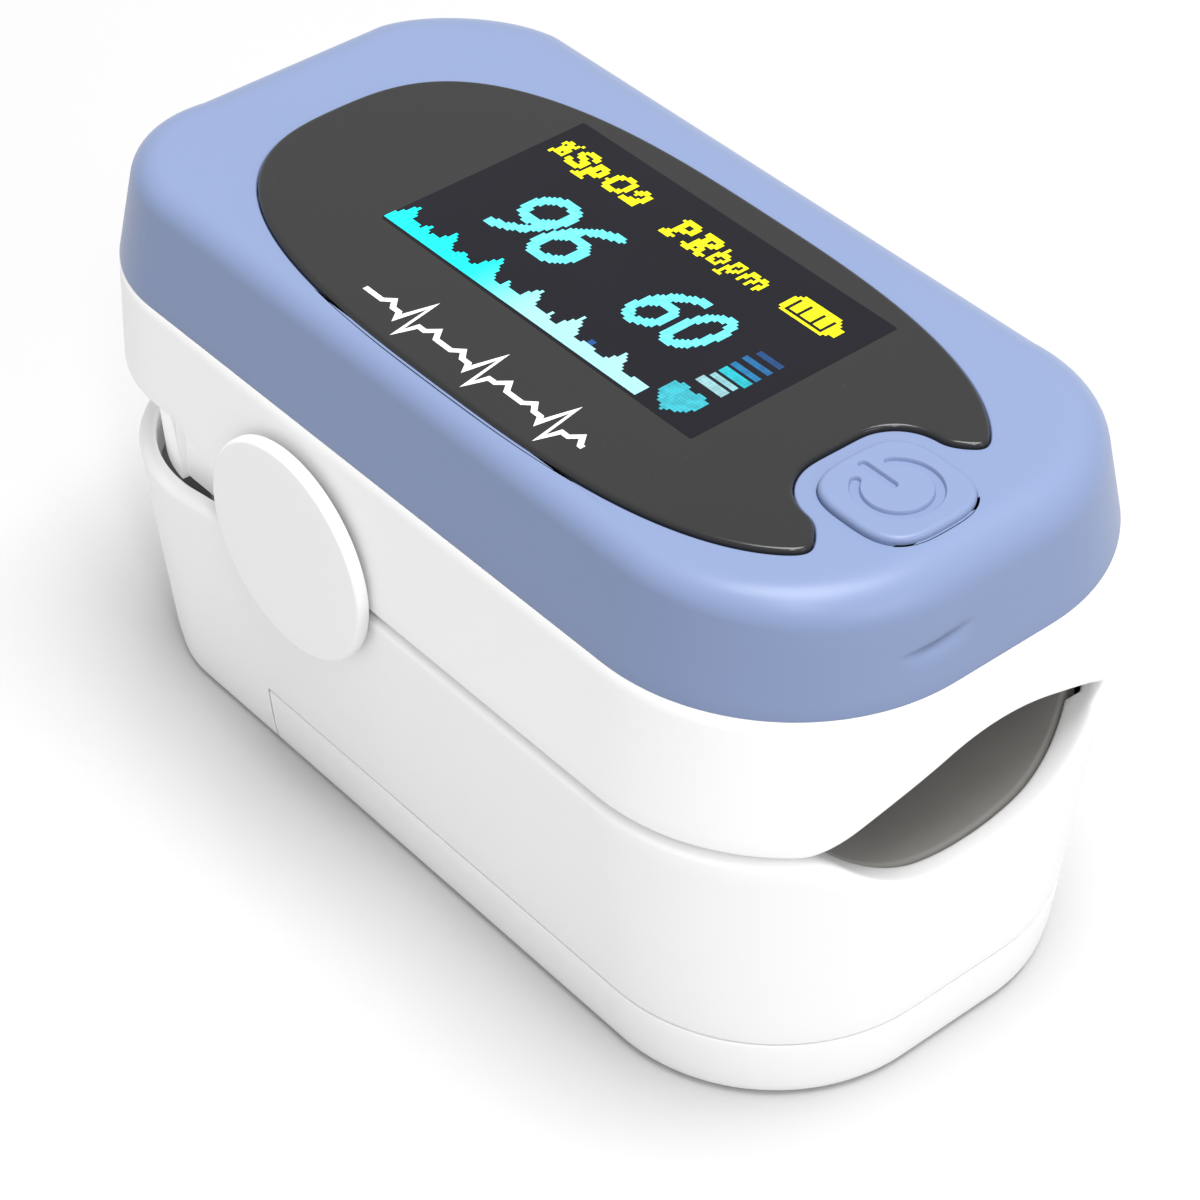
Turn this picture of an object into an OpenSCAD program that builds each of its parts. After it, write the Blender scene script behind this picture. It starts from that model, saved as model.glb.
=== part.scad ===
// Fingertip pulse oximeter: two sprung shells that close on a fingertip.
// Millimetres. +X is the end the finger enters, -X the end that is squeezed, +Z is up.

/* [Body] */
// Length of the shells at the parting line
body_length = 59.2; // [57:0.1:72]
// Width of the shells at the parting line
body_width = 31; // [30:0.1:38]
// Height of the flat top above the table
body_height = 34.1; // [33.5:0.1:41]
// Corner radius at the finger end, seen from above
front_radius = 12.2; // [10:0.1:14.8]
// Corner radius at the squeezed end, seen from above
rear_radius = 9.4; // [9:0.1:12.5]
// Thickness of the shell walls
wall = 1.6; // [1.4:0.05:1.95]
// How far the lower shell narrows on each side down to the table
lower_draft = 1.7; // [1:0.05:2]
// Height of the blue cover, from its seam to the flat top
cover_height = 6.4; // [6.2:0.1:7.5]
// Rounding of the top edge of the cover
cover_fillet = 2.5; // [1.8:0.1:3]

/* [Finger channel] */
// Height of the parting line above the table
parting_z = 19; // [18.6:0.1:20]
// Half width of the channel at the parting line
channel_half = 9.7; // [8.5:0.1:10]
// Height of the arch above the parting line
arch_rise = 4.4; // [3.8:0.1:4.8]
// Thickness of the silicone pads
pad_thickness = 1; // [0.8:0.05:1.1]

/* [Hinge] */
// Diameter of the round caps over the pivots
cap_diameter = 13; // [11:0.1:14]
// How far the caps stand out from the shells
cap_proud = 1; // [0.7:0.05:1.6]
// Diameter of the pivot pins
pin_diameter = 3; // [2.4:0.1:3.6]
// Pivot position, as a share of the length from the squeezed end
pivot_share = 0.38; // [0.34:0.01:0.42]

/* [Display and button] */
// Length of the black lens from rear to horn tips
lens_length = 44.4; // [43:0.1:45]
// Width of the black lens
lens_width = 22.6; // [21.4:0.1:23]
// Length of the lit window
window_length = 24.7; // [22:0.1:25.4]
// Width of the lit window
window_width = 13.8; // [11:0.1:14.4]
// Side of the square power button
button_side = 6.6; // [6:0.1:8]
// How far the button stands above the flat top
button_proud = 0.7; // [0.5:0.05:1]
// Travel of the button
button_travel = 0.35; // [0.2:0.05:0.4]

/* [Batteries] */
// Diameter of one AAA cell
cell_diameter = 10.5; // [10:0.1:10.5]
// Length of one AAA cell with its button
cell_length = 44.5; // [43.5:0.1:44.5]
// Height of the sliding battery cover at the sides
lid_height = 4.15; // [3.2:0.05:4.8]

/* [Hidden] */
$fn = 64;

// Smallest overlap that makes one solid of two shapes that meet
join = 0.1;
// Reach of a cutting tool past the face it cuts
past = 5;
// Gap between parts that move past each other
moving_gap = 0.3;
// Gap between fixed parts that slot together
fit_gap = 0.1;
// Radial clearance of the pins in their bores
pin_clearance = 0.06;

// Plan of the body
front_x = body_length / 2;
rear_x = -body_length / 2;
half_width = body_width / 2;
rim_z = parting_z - moving_gap;

// Lower half, from the table up
floor_thickness = 1.3;
floor_fillet = 0.8;
cell_radius = cell_diameter / 2;
cell_y = cell_radius + 0.35;
cell_z = floor_thickness + 0.2 + cell_radius;
deck_z = cell_z + cell_radius + 0.3;
deck = 0.8;
trough_bottom = deck_z + deck + pad_thickness;
trough_depth = parting_z - trough_bottom;
trough_radius = (channel_half * channel_half + trough_depth * trough_depth) / (2 * trough_depth);
trough_axis_z = trough_bottom + trough_radius;
arch_top = parting_z + arch_rise;
arch_radius = (channel_half * channel_half + arch_rise * arch_rise) / (2 * arch_rise);
arch_axis_z = arch_top - arch_radius;

// Walls: how far each surface stands in from the plan of the body
seam_inset = 0.35;
shoulder_inset = seam_inset + 0.8;
cavity_inset = wall + seam_inset;
lower_cavity_inset = wall - 0.25;
cavity_draft = 0.25;
bay_inset = wall + lower_draft;
tub_inset = wall + lower_draft * 0.35;

// Pivot
pivot_x = rear_x + pivot_share * body_length;
pivot_z = parting_z + 0.6;
pin_radius = pin_diameter / 2;
ear_radius = pin_radius + 2.6;
cap_radius = cap_diameter / 2;
cap_inner_y = half_width + 0.2;
cap_outer_y = half_width + cap_proud;
inner_ear_thickness = 1;
inner_ear_y = channel_half + pad_thickness + 0.5;
coil_wire = 0.2;
coil_y = inner_ear_y + inner_ear_thickness + 0.1;
coil_turns = 3;
coil_pitch = coil_wire * 1.7;
coil_radius = pin_radius + 0.5;
coil_end_y = coil_y + 2 * coil_wire + (coil_turns - 1) * coil_pitch;

// Squeezed end: the shells part in a wedge so that they can rock on the pivot
squeeze_angle = 13;
squeeze_gap_z = parting_z + 2.1;
squeeze_drop = (pivot_x - rear_x) * sin(squeeze_angle);
squeeze_rim_z = squeeze_gap_z - squeeze_drop - 0.7;
wedge_start_x = pivot_x - cap_radius + 0.4;
wedge_full_x = wedge_start_x - 5.2;
skirt_start_x = wedge_full_x - 1.6;
skirt_bottom_z = squeeze_rim_z - 0.7;
skirt_waist_z = squeeze_rim_z + 2.9;
skirt_inset = lower_cavity_inset + moving_gap;
skirt_bottom_inset = skirt_inset + 0.2;
skirt_thickness = 1;
notch_plate_inset = skirt_bottom_inset + 0.35;
notch_plate_front_x = wedge_start_x + 0.6;
skirt_shift = (pivot_z - skirt_bottom_z) * sin(squeeze_angle)
  + (pivot_x - rear_x) * (1 - cos(squeeze_angle));
tub_z = skirt_bottom_z - squeeze_drop - 0.5;

// Channel
channel_rear_x = wedge_start_x - 1.2;
pad_front_x = front_x - wall - 0.2;

// Battery bay, from the finger end back: the outer corners of the bridge contact set it
contact_thickness = 0.4;
bridge_half = cell_y + 3;
bridge_coil_wire = 0.25;
// the coil stays above the battery cover
bridge_coil_radius = cell_z - lid_height - bridge_coil_wire - 0.15;
bridge_corner = bridge_half + 0.4 + front_radius - half_width;
bridge_x = front_x - front_radius - 0.15 - contact_thickness
  + sqrt(pow(front_radius - tub_inset, 2) - pow(bridge_corner, 2));
cell_front_x = bridge_x - 1.6;
cell_rear_x = cell_front_x - cell_length;
bulkhead_x = cell_rear_x - 1.85;
bulkhead = 0.8;
contact_half = 3;
lid_rear_x = pivot_x - cap_radius + 0.6;
lid_gap = 0.25;

// Lower screws
screw_radius = 0.8;
screw_head_radius = 1.3;
screw_head = 0.7;
lower_boss_radius = 1.4;
lower_screw_x = bulkhead_x - bulkhead - lower_boss_radius - 0.15;
lower_screw_y = 5;
lower_screw_length = 5;

// Light sensor under the finger
sensor_x = 6;
sensor_side = 3;
window_side = 4.4;
sensor_board_length = 9;
sensor_board_width = 4;
sensor_board_thickness = 0.6;

// Upper half, from the flat top down
seam_z = body_height - cover_height;
shoulder_z = body_height - cover_fillet;
cover_top = 1.8;
ceiling_z = body_height - cover_top;
lens_recess = 0.95;
lens_proud = 0.25;
lens_center_y = -1.3;
lens_center_x = 0.9;
lens_gap = 0.08;
display_x = 1;
display_y = 1;
panel_length = 28.6;
panel_width = 17.6;
gasket_thickness = 0.9;
panel_thickness = 1.5;
holder_thickness = 2;
board_thickness = 0.8;
panel_top_z = ceiling_z - gasket_thickness;
panel_bottom_z = panel_top_z - panel_thickness;
board_top_z = panel_bottom_z - holder_thickness;
board_bottom_z = board_top_z - board_thickness;
board_inset = cavity_inset + 2.6;
board_rear_x = rear_x + 8.4;
frame_deck = 1.2;
frame_top_z = arch_top + pad_thickness + frame_deck;

// Button
button_x = lens_center_x + lens_length / 2 - 0.4;
button_y = -1.3;
button_radius = 2.4;
button_gap = 0.25;
button_margin = 1.45;
flange_thickness = 0.7;
flange_top_z = ceiling_z - moving_gap;
flange_lip = 0.7;
switch_side = 5.2;
switch_height = 1.5;
stem_radius = 1.2;
stem_sink = button_travel + 0.25;

// Upper screws
board_screws_at = [
  [board_rear_x + 2.4, -8.4], [board_rear_x + 2.4, 8.4],
  [button_x - 4.9, 9.8], [button_x - 4.9, -10.2]
];
board_boss_radius = 1.9;
frame_screw_x = rear_x + 5.6;
frame_screw_y = 5;
frame_boss_radius = 2;

// ---------- shapes shared by several parts ----------

// Plan of the body, brought in by inset on every side
module plan(inset = 0) {
  for (s = [-1, 1]) {
    translate([front_x - front_radius, s * (half_width - front_radius)])
      circle(r = front_radius - inset);
    translate([rear_x + rear_radius, s * (half_width - rear_radius)])
      circle(r = rear_radius - inset);
  }
  translate([rear_x + rear_radius, inset - half_width])
    square([body_length - front_radius - rear_radius, 2 * (half_width - inset)]);
  translate([0, front_radius - half_width])
    square([front_x - inset, 2 * (half_width - front_radius)]);
  translate([rear_x + inset, rear_radius - half_width])
    square([-rear_x - inset, 2 * (half_width - rear_radius)]);
}

module plan_block(z0, z1, inset) {
  translate([0, 0, z0])
    linear_extrude(z1 - z0)
      plan(inset);
}

// Carries a section drawn from 0 out to $reach round the plan of the body
module around() {
  for (s = [-1, 1]) {
    translate([front_x - front_radius, s * (half_width - front_radius), 0])
      rotate_extrude()
        let ($reach = front_radius) children();
    translate([rear_x + rear_radius, s * (half_width - rear_radius), 0])
      rotate_extrude()
        let ($reach = rear_radius) children();
    translate([rear_x + rear_radius, 0, 0])
      rotate([90, 0, 90])
        linear_extrude(body_length - front_radius - rear_radius)
          mirror([s > 0 ? 0 : 1, 0])
            let ($reach = half_width) children();
  }
  translate([0, half_width - front_radius, 0])
    rotate([90, 0, 0])
      linear_extrude(2 * (half_width - front_radius))
        let ($reach = front_x) children();
  translate([0, half_width - rear_radius, 0])
    rotate([90, 0, 0])
      linear_extrude(2 * (half_width - rear_radius))
        mirror([1, 0])
          let ($reach = -rear_x) children();
}

// Section with straight sides between two heights and two insets
module slope(z0, z1, inset0, inset1) {
  polygon([[0, z0], [$reach - inset0, z0], [$reach - inset1, z1], [0, z1]]);
}

function lower_inset(z) = lower_draft * (rim_z - z) / rim_z;

// Outside of the lower half, rounded at the table and at the rim
module lower_outside() {
  around() {
    slope(floor_fillet, rim_z - 0.5, lower_inset(floor_fillet), lower_inset(rim_z - 0.5));
    slope(rim_z - 0.5, rim_z, lower_inset(rim_z - 0.5), 0.4);
    slope(0, floor_fillet, lower_draft + floor_fillet, lower_inset(floor_fillet));
  }
}

// Side view drawn in X and Z, cut or kept through the whole width
module across(half = body_width) {
  translate([0, half, 0])
    rotate([90, 0, 0])
      linear_extrude(2 * half)
        children();
}

// Round bar along X
module bar_x(x0, x1, y, z, r) {
  translate([x0, y, z])
    rotate([0, 90, 0])
      cylinder(h = x1 - x0, r = r);
}

// Round bar along Y on side s, from y0 out to y1
module bar_y(s, y0, y1, x, z, r) {
  translate([x, s * y0, z])
    rotate([-90 * s, 0, 0])
      cylinder(h = y1 - y0, r = r);
}

module box(x0, x1, half, z0, z1) {
  translate([x0, -half, z0])
    cube([x1 - x0, 2 * half, z1 - z0]);
}

module rounded_square(side, r) {
  h = side / 2;
  for (sx = [-1, 1], sy = [-1, 1])
    translate([sx * (h - r), sy * (h - r)])
      circle(r = r);
  square([side, side - 2 * r], center = true);
  square([side - 2 * r, side], center = true);
}

// The room that the squeezed end sweeps through above the rim of the lower shell
module squeeze_cut() {
  across()
    polygon([
      [pivot_x, rim_z + past], [pivot_x, rim_z], [wedge_start_x + 0.6, squeeze_rim_z + 1.3],
      [skirt_start_x, squeeze_rim_z], [rear_x - past, squeeze_rim_z], [rear_x - past, rim_z + past]
    ]);
}

// Room that the skirt of the upper shell sweeps through inside the lower shell
module skirt_room() {
  difference() {
    box(rear_x - past, notch_plate_front_x + skirt_shift, body_width, tub_z, rim_z + past);
    intersection() {
      plan_block(tub_z - past, rim_z + 2 * past, skirt_bottom_inset + skirt_thickness + moving_gap);
      translate([skirt_shift, 0, 0])
        plan_block(tub_z - past, rim_z + 2 * past,
          skirt_bottom_inset + skirt_thickness + moving_gap);
    }
  }
}

// Openings in the upper frame and pad that the ears of the lower frame stand in
module ear_room() {
  for (s = [-1, 1])
    translate([pivot_x - ear_radius - 1.2, s > 0 ? inner_ear_y - 0.4 : -half_width,
      parting_z - past])
      cube([2 * ear_radius + 2.4, half_width - inner_ear_y + 0.4, past + ear_radius + 1.2]);
}

module cell(side) {
  y = side * cell_y;
  bar_x(cell_rear_x + (side > 0 ? 0 : 0.8), cell_front_x - (side > 0 ? 0.8 : 0), y, cell_z,
    cell_radius);
  if (side > 0)
    bar_x(cell_front_x - 0.8 - join, cell_front_x, y, cell_z, 1.9);
  else
    bar_x(cell_rear_x, cell_rear_x + 0.8 + join, y, cell_z, 1.9);
}

// Cone of touching coils with its wide end at the origin, opening along +Z
module coil_cone(wire, wide, narrow, turns) {
  rotate_extrude()
    for (i = [0 : turns - 1])
      translate([wide - (wide - narrow) * i / (turns - 1), wire + i * wire * 1.3])
        circle(r = wire, $fn = 24);
}

module screw(length) {
  translate([0, 0, -join])
    cylinder(h = length + join, r = screw_radius, $fn = 32);
  difference() {
    translate([0, 0, -screw_head])
      cylinder(h = screw_head, r = screw_head_radius, $fn = 32);
    for (a = [0, 90])
      rotate([0, 0, a])
        translate([0, 0, -screw_head])
          cube([1.8, 0.4, 0.7], center = true);
  }
}

// ---------- lower half ----------

module lower_shell() {
  color([0.93, 0.93, 0.94])
  difference() {
    union() {
      difference() {
        lower_outside();
        // room inside, narrower below the reach of the skirt
        around()
          slope(tub_z, rim_z + join, lower_cavity_inset + cavity_draft, lower_cavity_inset);
        plan_block(floor_thickness, tub_z + join, tub_inset);
      }
      // posts for the two screws
      for (s = [-1, 1])
        translate([lower_screw_x, s * lower_screw_y, floor_thickness - join])
          cylinder(h = 1.3 + join, r = lower_boss_radius);
    }
    // the part of the bottom that the battery cover replaces
    box(lid_rear_x - lid_gap, front_x + past, body_width, -past, lid_height + lid_gap);
    // finger trough through the front wall
    bar_x(0, front_x + past, 0, trough_axis_z, trough_radius);
    squeeze_cut();
    // the ears of the upper shell turn in these
    for (s = [-1, 1])
      bar_y(s, half_width - 3, half_width + past, pivot_x, pivot_z, ear_radius + moving_gap);
    // screw heads and shanks
    for (s = [-1, 1])
      translate([lower_screw_x, s * lower_screw_y, -past]) {
        cylinder(h = past + 1.1 + fit_gap, r = screw_head_radius + fit_gap);
        cylinder(h = past + 6, r = screw_radius + fit_gap);
      }
  }
}

module battery_cover() {
  color([0.92, 0.92, 0.93])
  difference() {
    union() {
      intersection() {
        difference() {
          lower_outside();
          plan_block(floor_thickness, rim_z, bay_inset - 0.2);
        }
        box(lid_rear_x, front_x + past, body_width, -past, lid_height);
      }
      // tongue that slips over the fixed bottom
      box(lid_rear_x - 1.6, lid_rear_x + 1.5, 6, floor_thickness + lid_gap,
        floor_thickness + lid_gap + 0.9);
      box(lid_rear_x, lid_rear_x + 1.5, 6, floor_thickness - join, floor_thickness + 0.9);
    }
    // the cells lie in the cover
    for (s = [-1, 1])
      bar_x(cell_rear_x - 1, cell_front_x + 1, s * cell_y, cell_z, cell_radius + 0.15);
    // thumb grooves on the underside
    for (i = [0 : 4])
      translate([front_x - 13 + i * 1.6, -5, -past])
        cube([0.8, 10, past + 0.35]);
  }
}

module lower_frame() {
  color([0.86, 0.87, 0.88])
  difference() {
    union() {
      difference() {
        intersection() {
          union() {
            // trough block over the battery bay
            box(bulkhead_x - bulkhead, front_x, body_width, deck_z, rim_z - 0.2);
            // bulkhead that carries the rear contacts, and its foot
            box(bulkhead_x - bulkhead, bulkhead_x, body_width, floor_thickness + 0.15,
              deck_z + join);
            box(rear_x, bulkhead_x, 7, floor_thickness + 1.35, floor_thickness + 2.8);
            // front wall that carries the bridge contact
            box(bridge_x + contact_thickness, bridge_x + contact_thickness + 1, body_width,
              lid_height + 1.5, deck_z + join);
            for (s = [-1, 1])
              translate([lower_screw_x, s * lower_screw_y, floor_thickness + 2.7])
                cylinder(h = 3.4, r = lower_boss_radius);
          }
          union() {
            plan_block(0, deck_z, tub_inset + fit_gap);
            plan_block(deck_z - join, rim_z, lower_cavity_inset + cavity_draft + fit_gap);
          }
        }
        squeeze_cut();
        skirt_room();
        squeeze_room();
        // room for the coils and the ears of the upper shell
        for (s = [-1, 1])
          bar_y(s, coil_y - 0.1, half_width + past, pivot_x, pivot_z, ear_radius + 2 * moving_gap);
      }
      // ears that carry the pins
      for (s = [-1, 1]) {
        bar_y(s, inner_ear_y, inner_ear_y + inner_ear_thickness, pivot_x, pivot_z,
          ear_radius - 0.6);
        translate([pivot_x - ear_radius + 0.6,
          s > 0 ? inner_ear_y : -inner_ear_y - inner_ear_thickness, deck_z])
          cube([2 * ear_radius - 1.2, inner_ear_thickness, pivot_z - deck_z]);
      }
    }
    // trough for the pad
    bar_x(channel_rear_x - 1, front_x + past, 0, trough_axis_z, trough_radius + pad_thickness);
    // pin bores
    for (s = [-1, 1])
      bar_y(s, inner_ear_y - past, half_width, pivot_x, pivot_z, pin_radius);
    // light sensor and ribbon
    box(sensor_x - sensor_side / 2 - fit_gap, sensor_x + sensor_side / 2 + fit_gap,
      sensor_side / 2 + fit_gap, deck_z - past, deck_z + past);
    box(channel_rear_x - 3.4, channel_rear_x - 2, 2.6, deck_z - past, rim_z + past);
    // screw holes
    for (s = [-1, 1])
      translate([lower_screw_x, s * lower_screw_y, 0])
        cylinder(h = 2 + lower_screw_length + 0.4, r = screw_radius + 0.02);
  }
}

// Room behind the channel for the squeezed end of the upper half
module squeeze_room() {
  across()
    polygon([
      [channel_rear_x - 1.6, rim_z + past], [channel_rear_x - 1.6, deck_z + deck],
      [rear_x - past, deck_z + deck], [rear_x - past, rim_z + past]
    ]);
}

module lower_pad() {
  color([0.33, 0.33, 0.32])
  difference() {
    intersection() {
      difference() {
        bar_x(channel_rear_x, pad_front_x, 0, trough_axis_z, trough_radius + pad_thickness);
        bar_x(channel_rear_x + 1.4, front_x + past, 0, trough_axis_z, trough_radius);
      }
      box(channel_rear_x - past, front_x + past, channel_half + pad_thickness, 0, rim_z - 0.2);
      plan_block(0, rim_z, lower_cavity_inset + cavity_draft + 0.2);
    }
    squeeze_cut();
    box(sensor_x - window_side / 2 - fit_gap, sensor_x + window_side / 2 + fit_gap,
      window_side / 2 + fit_gap, 0, rim_z);
  }
}

module sensor_board() {
  color([0.1, 0.36, 0.2])
    box(sensor_x - sensor_board_length / 2, sensor_x + sensor_board_length / 2,
      sensor_board_width / 2, deck_z - sensor_board_thickness, deck_z);
}

module photodiode() {
  color([0.15, 0.15, 0.17])
    box(sensor_x - sensor_side / 2, sensor_x + sensor_side / 2, sensor_side / 2, deck_z,
      deck_z + deck - 0.05);
}

module sensor_window() {
  color([0.8, 0.85, 0.85])
    box(sensor_x - window_side / 2, sensor_x + window_side / 2, window_side / 2,
      deck_z + deck + 0.3, trough_bottom + 0.15);
}

module battery_left() {
  color([0.2, 0.3, 0.45])
    cell(1);
}

module battery_right() {
  color([0.2, 0.3, 0.45])
    cell(-1);
}

module spring_contact() {
  color([0.78, 0.78, 0.76]) {
    translate([bulkhead_x, cell_y - 4, cell_z - 4])
      cube([contact_thickness, 8, 4 + contact_half]);
    translate([bulkhead_x + contact_thickness - 0.05, cell_y, cell_z])
      rotate([0, 90, 0])
        coil_cone(0.3, 3.2, 2, 3);
  }
}

module plate_contact() {
  color([0.78, 0.78, 0.76]) {
    translate([bulkhead_x, -cell_y - 4, cell_z - 4])
      cube([contact_thickness, 8, 4 + contact_half]);
    bar_x(bulkhead_x, cell_rear_x - 0.05, -cell_y, cell_z, 1.6);
  }
}

module bridge_contact() {
  color([0.78, 0.78, 0.76]) {
    translate([bridge_x, -bridge_half, cell_z - 1])
      cube([contact_thickness, 2 * bridge_half, 1 + contact_half]);
    bar_x(cell_front_x + 0.05, bridge_x + join, cell_y, cell_z, 1.6);
    translate([bridge_x + 0.05, -cell_y, cell_z])
      rotate([0, -90, 0])
        coil_cone(bridge_coil_wire, bridge_coil_radius, 1.6, 4);
  }
}

module hinge_pins() {
  color([0.75, 0.76, 0.78])
    for (s = [-1, 1])
      bar_y(s, inner_ear_y + 0.1, cap_outer_y - 0.5, pivot_x, pivot_z, pin_radius);
}

module pivot_cap(s) {
  difference() {
    union() {
      bar_y(s, cap_inner_y, cap_outer_y - 0.25, pivot_x, pivot_z, cap_radius);
      translate([pivot_x, s * (cap_outer_y - 0.25 - 0.01), pivot_z])
        rotate([-90 * s, 0, 0])
          cylinder(h = 0.26, r1 = cap_radius, r2 = cap_radius - 0.3);
    }
    bar_y(s, 0, cap_outer_y - 0.5, pivot_x, pivot_z, pin_radius);
  }
}

module pivot_cap_near() {
  color([0.94, 0.94, 0.95])
    pivot_cap(-1);
}

module pivot_cap_far() {
  color([0.94, 0.94, 0.95])
    pivot_cap(1);
}

module torsion_springs() {
  color([0.7, 0.71, 0.73])
    for (s = [-1, 1])
      translate([pivot_x, s * coil_y, pivot_z])
        rotate([-90 * s, 0, 0])
          rotate_extrude()
            for (i = [0 : coil_turns - 1])
              translate([coil_radius, coil_wire + i * coil_pitch])
                circle(r = coil_wire, $fn = 24);
}

module lower_screws() {
  color([0.6, 0.6, 0.62])
    for (s = [-1, 1])
      translate([lower_screw_x, s * lower_screw_y, 1.1])
        screw(lower_screw_length);
}

module flex_ribbon() {
  x = channel_rear_x - 2.7;
  color([0.75, 0.5, 0.15]) {
    box(x - 0.1, x + 0.1, 2, deck_z - 0.3, board_bottom_z - 0.05);
    box(x - 0.1, sensor_x - sensor_board_length / 2 - 0.05, 2, deck_z - 0.3, deck_z - 0.1);
  }
}

// ---------- upper half ----------

module upper_shell() {
  color([0.93, 0.93, 0.94])
  difference() {
    union() {
      difference() {
        around()
          slope(parting_z, seam_z, 0, seam_inset);
        plan_block(parting_z - past, seam_z + past, cavity_inset);
        // wedge at the squeezed end
        across()
          polygon([
            [wedge_start_x, parting_z], [wedge_full_x, squeeze_gap_z],
            [rear_x - past, squeeze_gap_z], [rear_x - past, parting_z - past],
            [wedge_start_x, parting_z - past]
          ]);
      }
      // skirt that dips inside the lower shell when squeezed
      intersection() {
        difference() {
          around() {
            slope(skirt_bottom_z, skirt_waist_z, skirt_bottom_inset, skirt_inset);
            slope(skirt_waist_z, squeeze_gap_z - 0.9, skirt_inset, skirt_inset - 0.4);
            slope(squeeze_gap_z - 0.9, squeeze_gap_z, skirt_inset - 0.4, seam_inset);
            slope(squeeze_gap_z - join, squeeze_gap_z + 1, seam_inset + join, cavity_inset);
          }
          plan_block(skirt_bottom_z - past, squeeze_gap_z + past,
            skirt_bottom_inset + skirt_thickness);
        }
        box(rear_x - past, skirt_start_x, body_width, skirt_bottom_z - past, seam_z);
      }
      // plates that close the notch at the sides
      intersection() {
        difference() {
          union() {
            plan_block(skirt_bottom_z, squeeze_gap_z + join, notch_plate_inset);
            plan_block(squeeze_gap_z, squeeze_gap_z + 1, cavity_inset - join);
          }
          plan_block(skirt_bottom_z - past, squeeze_gap_z + past,
            skirt_bottom_inset + skirt_thickness);
        }
        box(skirt_start_x - join, notch_plate_front_x, body_width, skirt_bottom_z - past, seam_z);
      }
      // ears that turn on the pins
      for (s = [-1, 1])
        bar_y(s, half_width - cavity_inset, half_width - 0.2, pivot_x, pivot_z, ear_radius);
    }
    // arch over the finger
    bar_x(pivot_x + cap_radius, front_x + past, 0, arch_axis_z, arch_radius);
    for (s = [-1, 1]) {
      bar_y(s, 0, half_width + past, pivot_x, pivot_z, pin_radius + pin_clearance);
      bar_y(s, 0, coil_end_y + fit_gap, pivot_x, pivot_z, coil_radius + coil_wire + fit_gap);
    }
  }
}

module top_cover() {
  color([0.6, 0.68, 0.85])
  difference() {
    union() {
      difference() {
        around() {
          slope(seam_z, shoulder_z, seam_inset, shoulder_inset);
          slope(shoulder_z - join, body_height, shoulder_inset + cover_fillet,
            shoulder_inset + cover_fillet);
          translate([$reach - shoulder_inset - cover_fillet, shoulder_z])
            intersection() {
              circle(r = cover_fillet);
              translate([-join, -join])
                square(cover_fillet + past);
            }
        }
        around() {
          slope(seam_z - past, ceiling_z - 1.4, cavity_inset + 0.6, cavity_inset + 0.8);
          slope(ceiling_z - 1.4 - join, ceiling_z, cavity_inset + 0.8, cavity_inset + 2.2);
        }
      }
      // tongue that locates the cover inside the upper shell
      difference() {
        plan_block(seam_z - 1.4, seam_z + 0.4, cavity_inset + fit_gap);
        plan_block(seam_z - past, seam_z + past, cavity_inset + 1);
      }
      // posts for the screws
      for (p = board_screws_at)
        translate([p[0], p[1], board_top_z + 0.05])
          cylinder(h = ceiling_z - board_top_z + join, r = board_boss_radius);
      for (s = [-1, 1])
        translate([frame_screw_x, s * frame_screw_y, frame_top_z + 0.05])
          cylinder(h = ceiling_z - frame_top_z + join, r = frame_boss_radius);
    }
    // seat of the lens and the window below it
    translate([0, 0, body_height - lens_recess])
      linear_extrude(lens_recess + past)
        lens_plan(-lens_gap);
    translate([display_x - window_length / 2 - 0.6, display_y - window_width / 2 - 0.6,
      ceiling_z - past])
      cube([window_length + 1.2, window_width + 1.2, cover_top + 2 * past]);
    // button hole
    translate([button_x, button_y, ceiling_z - past])
      linear_extrude(cover_top + 2 * past)
        rounded_square(button_side + 2 * button_gap, button_radius + button_gap);
    for (p = board_screws_at)
      translate([p[0], p[1], board_top_z - past])
        cylinder(h = past + 2.8, r = screw_radius + 0.02);
    for (s = [-1, 1])
      translate([frame_screw_x, s * frame_screw_y, frame_top_z - past])
        cylinder(h = past + 4.6, r = screw_radius + 0.02);
    // shallow thumb mark in the front wall
    translate([front_x - 0.55, -6, shoulder_z - 1.6])
      cube([2, 4.4, 0.8]);
  }
}

// Plan of the lens: a long oval hollowed round the button
module lens_plan(inset = 0) {
  r = lens_width / 2;
  bulge = 95;
  difference() {
    intersection() {
      union() {
        translate([lens_center_x - lens_length / 2 + r, lens_center_y])
          circle(r = r - inset);
        translate([lens_center_x + lens_length / 2 - r, lens_center_y])
          circle(r = r - inset);
        translate([lens_center_x - lens_length / 2 + r, lens_center_y - r + inset])
          square([lens_length - 2 * r, 2 * (r - inset)]);
      }
      translate([lens_center_x + 2, lens_center_y + bulge - r])
        circle(r = bulge - inset, $fn = 360);
      translate([lens_center_x + 2, lens_center_y - bulge + r])
        circle(r = bulge - inset, $fn = 360);
    }
    translate([button_x, button_y])
      rounded_square(button_side + 2 * (button_margin + inset), button_radius + button_margin + inset);
    translate([button_x + 6, button_y])
      square([12, button_side + 2 * (button_margin + inset)], center = true);
  }
}

module display_lens() {
  color([0.08, 0.08, 0.09]) {
    translate([0, 0, body_height - lens_recess + 0.05])
      linear_extrude(lens_recess - 0.05 + lens_proud)
        lens_plan();
  }
}

module oled_panel() {
  color([0.05, 0.06, 0.08])
    translate([display_x - panel_length / 2, display_y - panel_width / 2, panel_bottom_z])
      cube([panel_length, panel_width, panel_thickness]);
}

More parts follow.
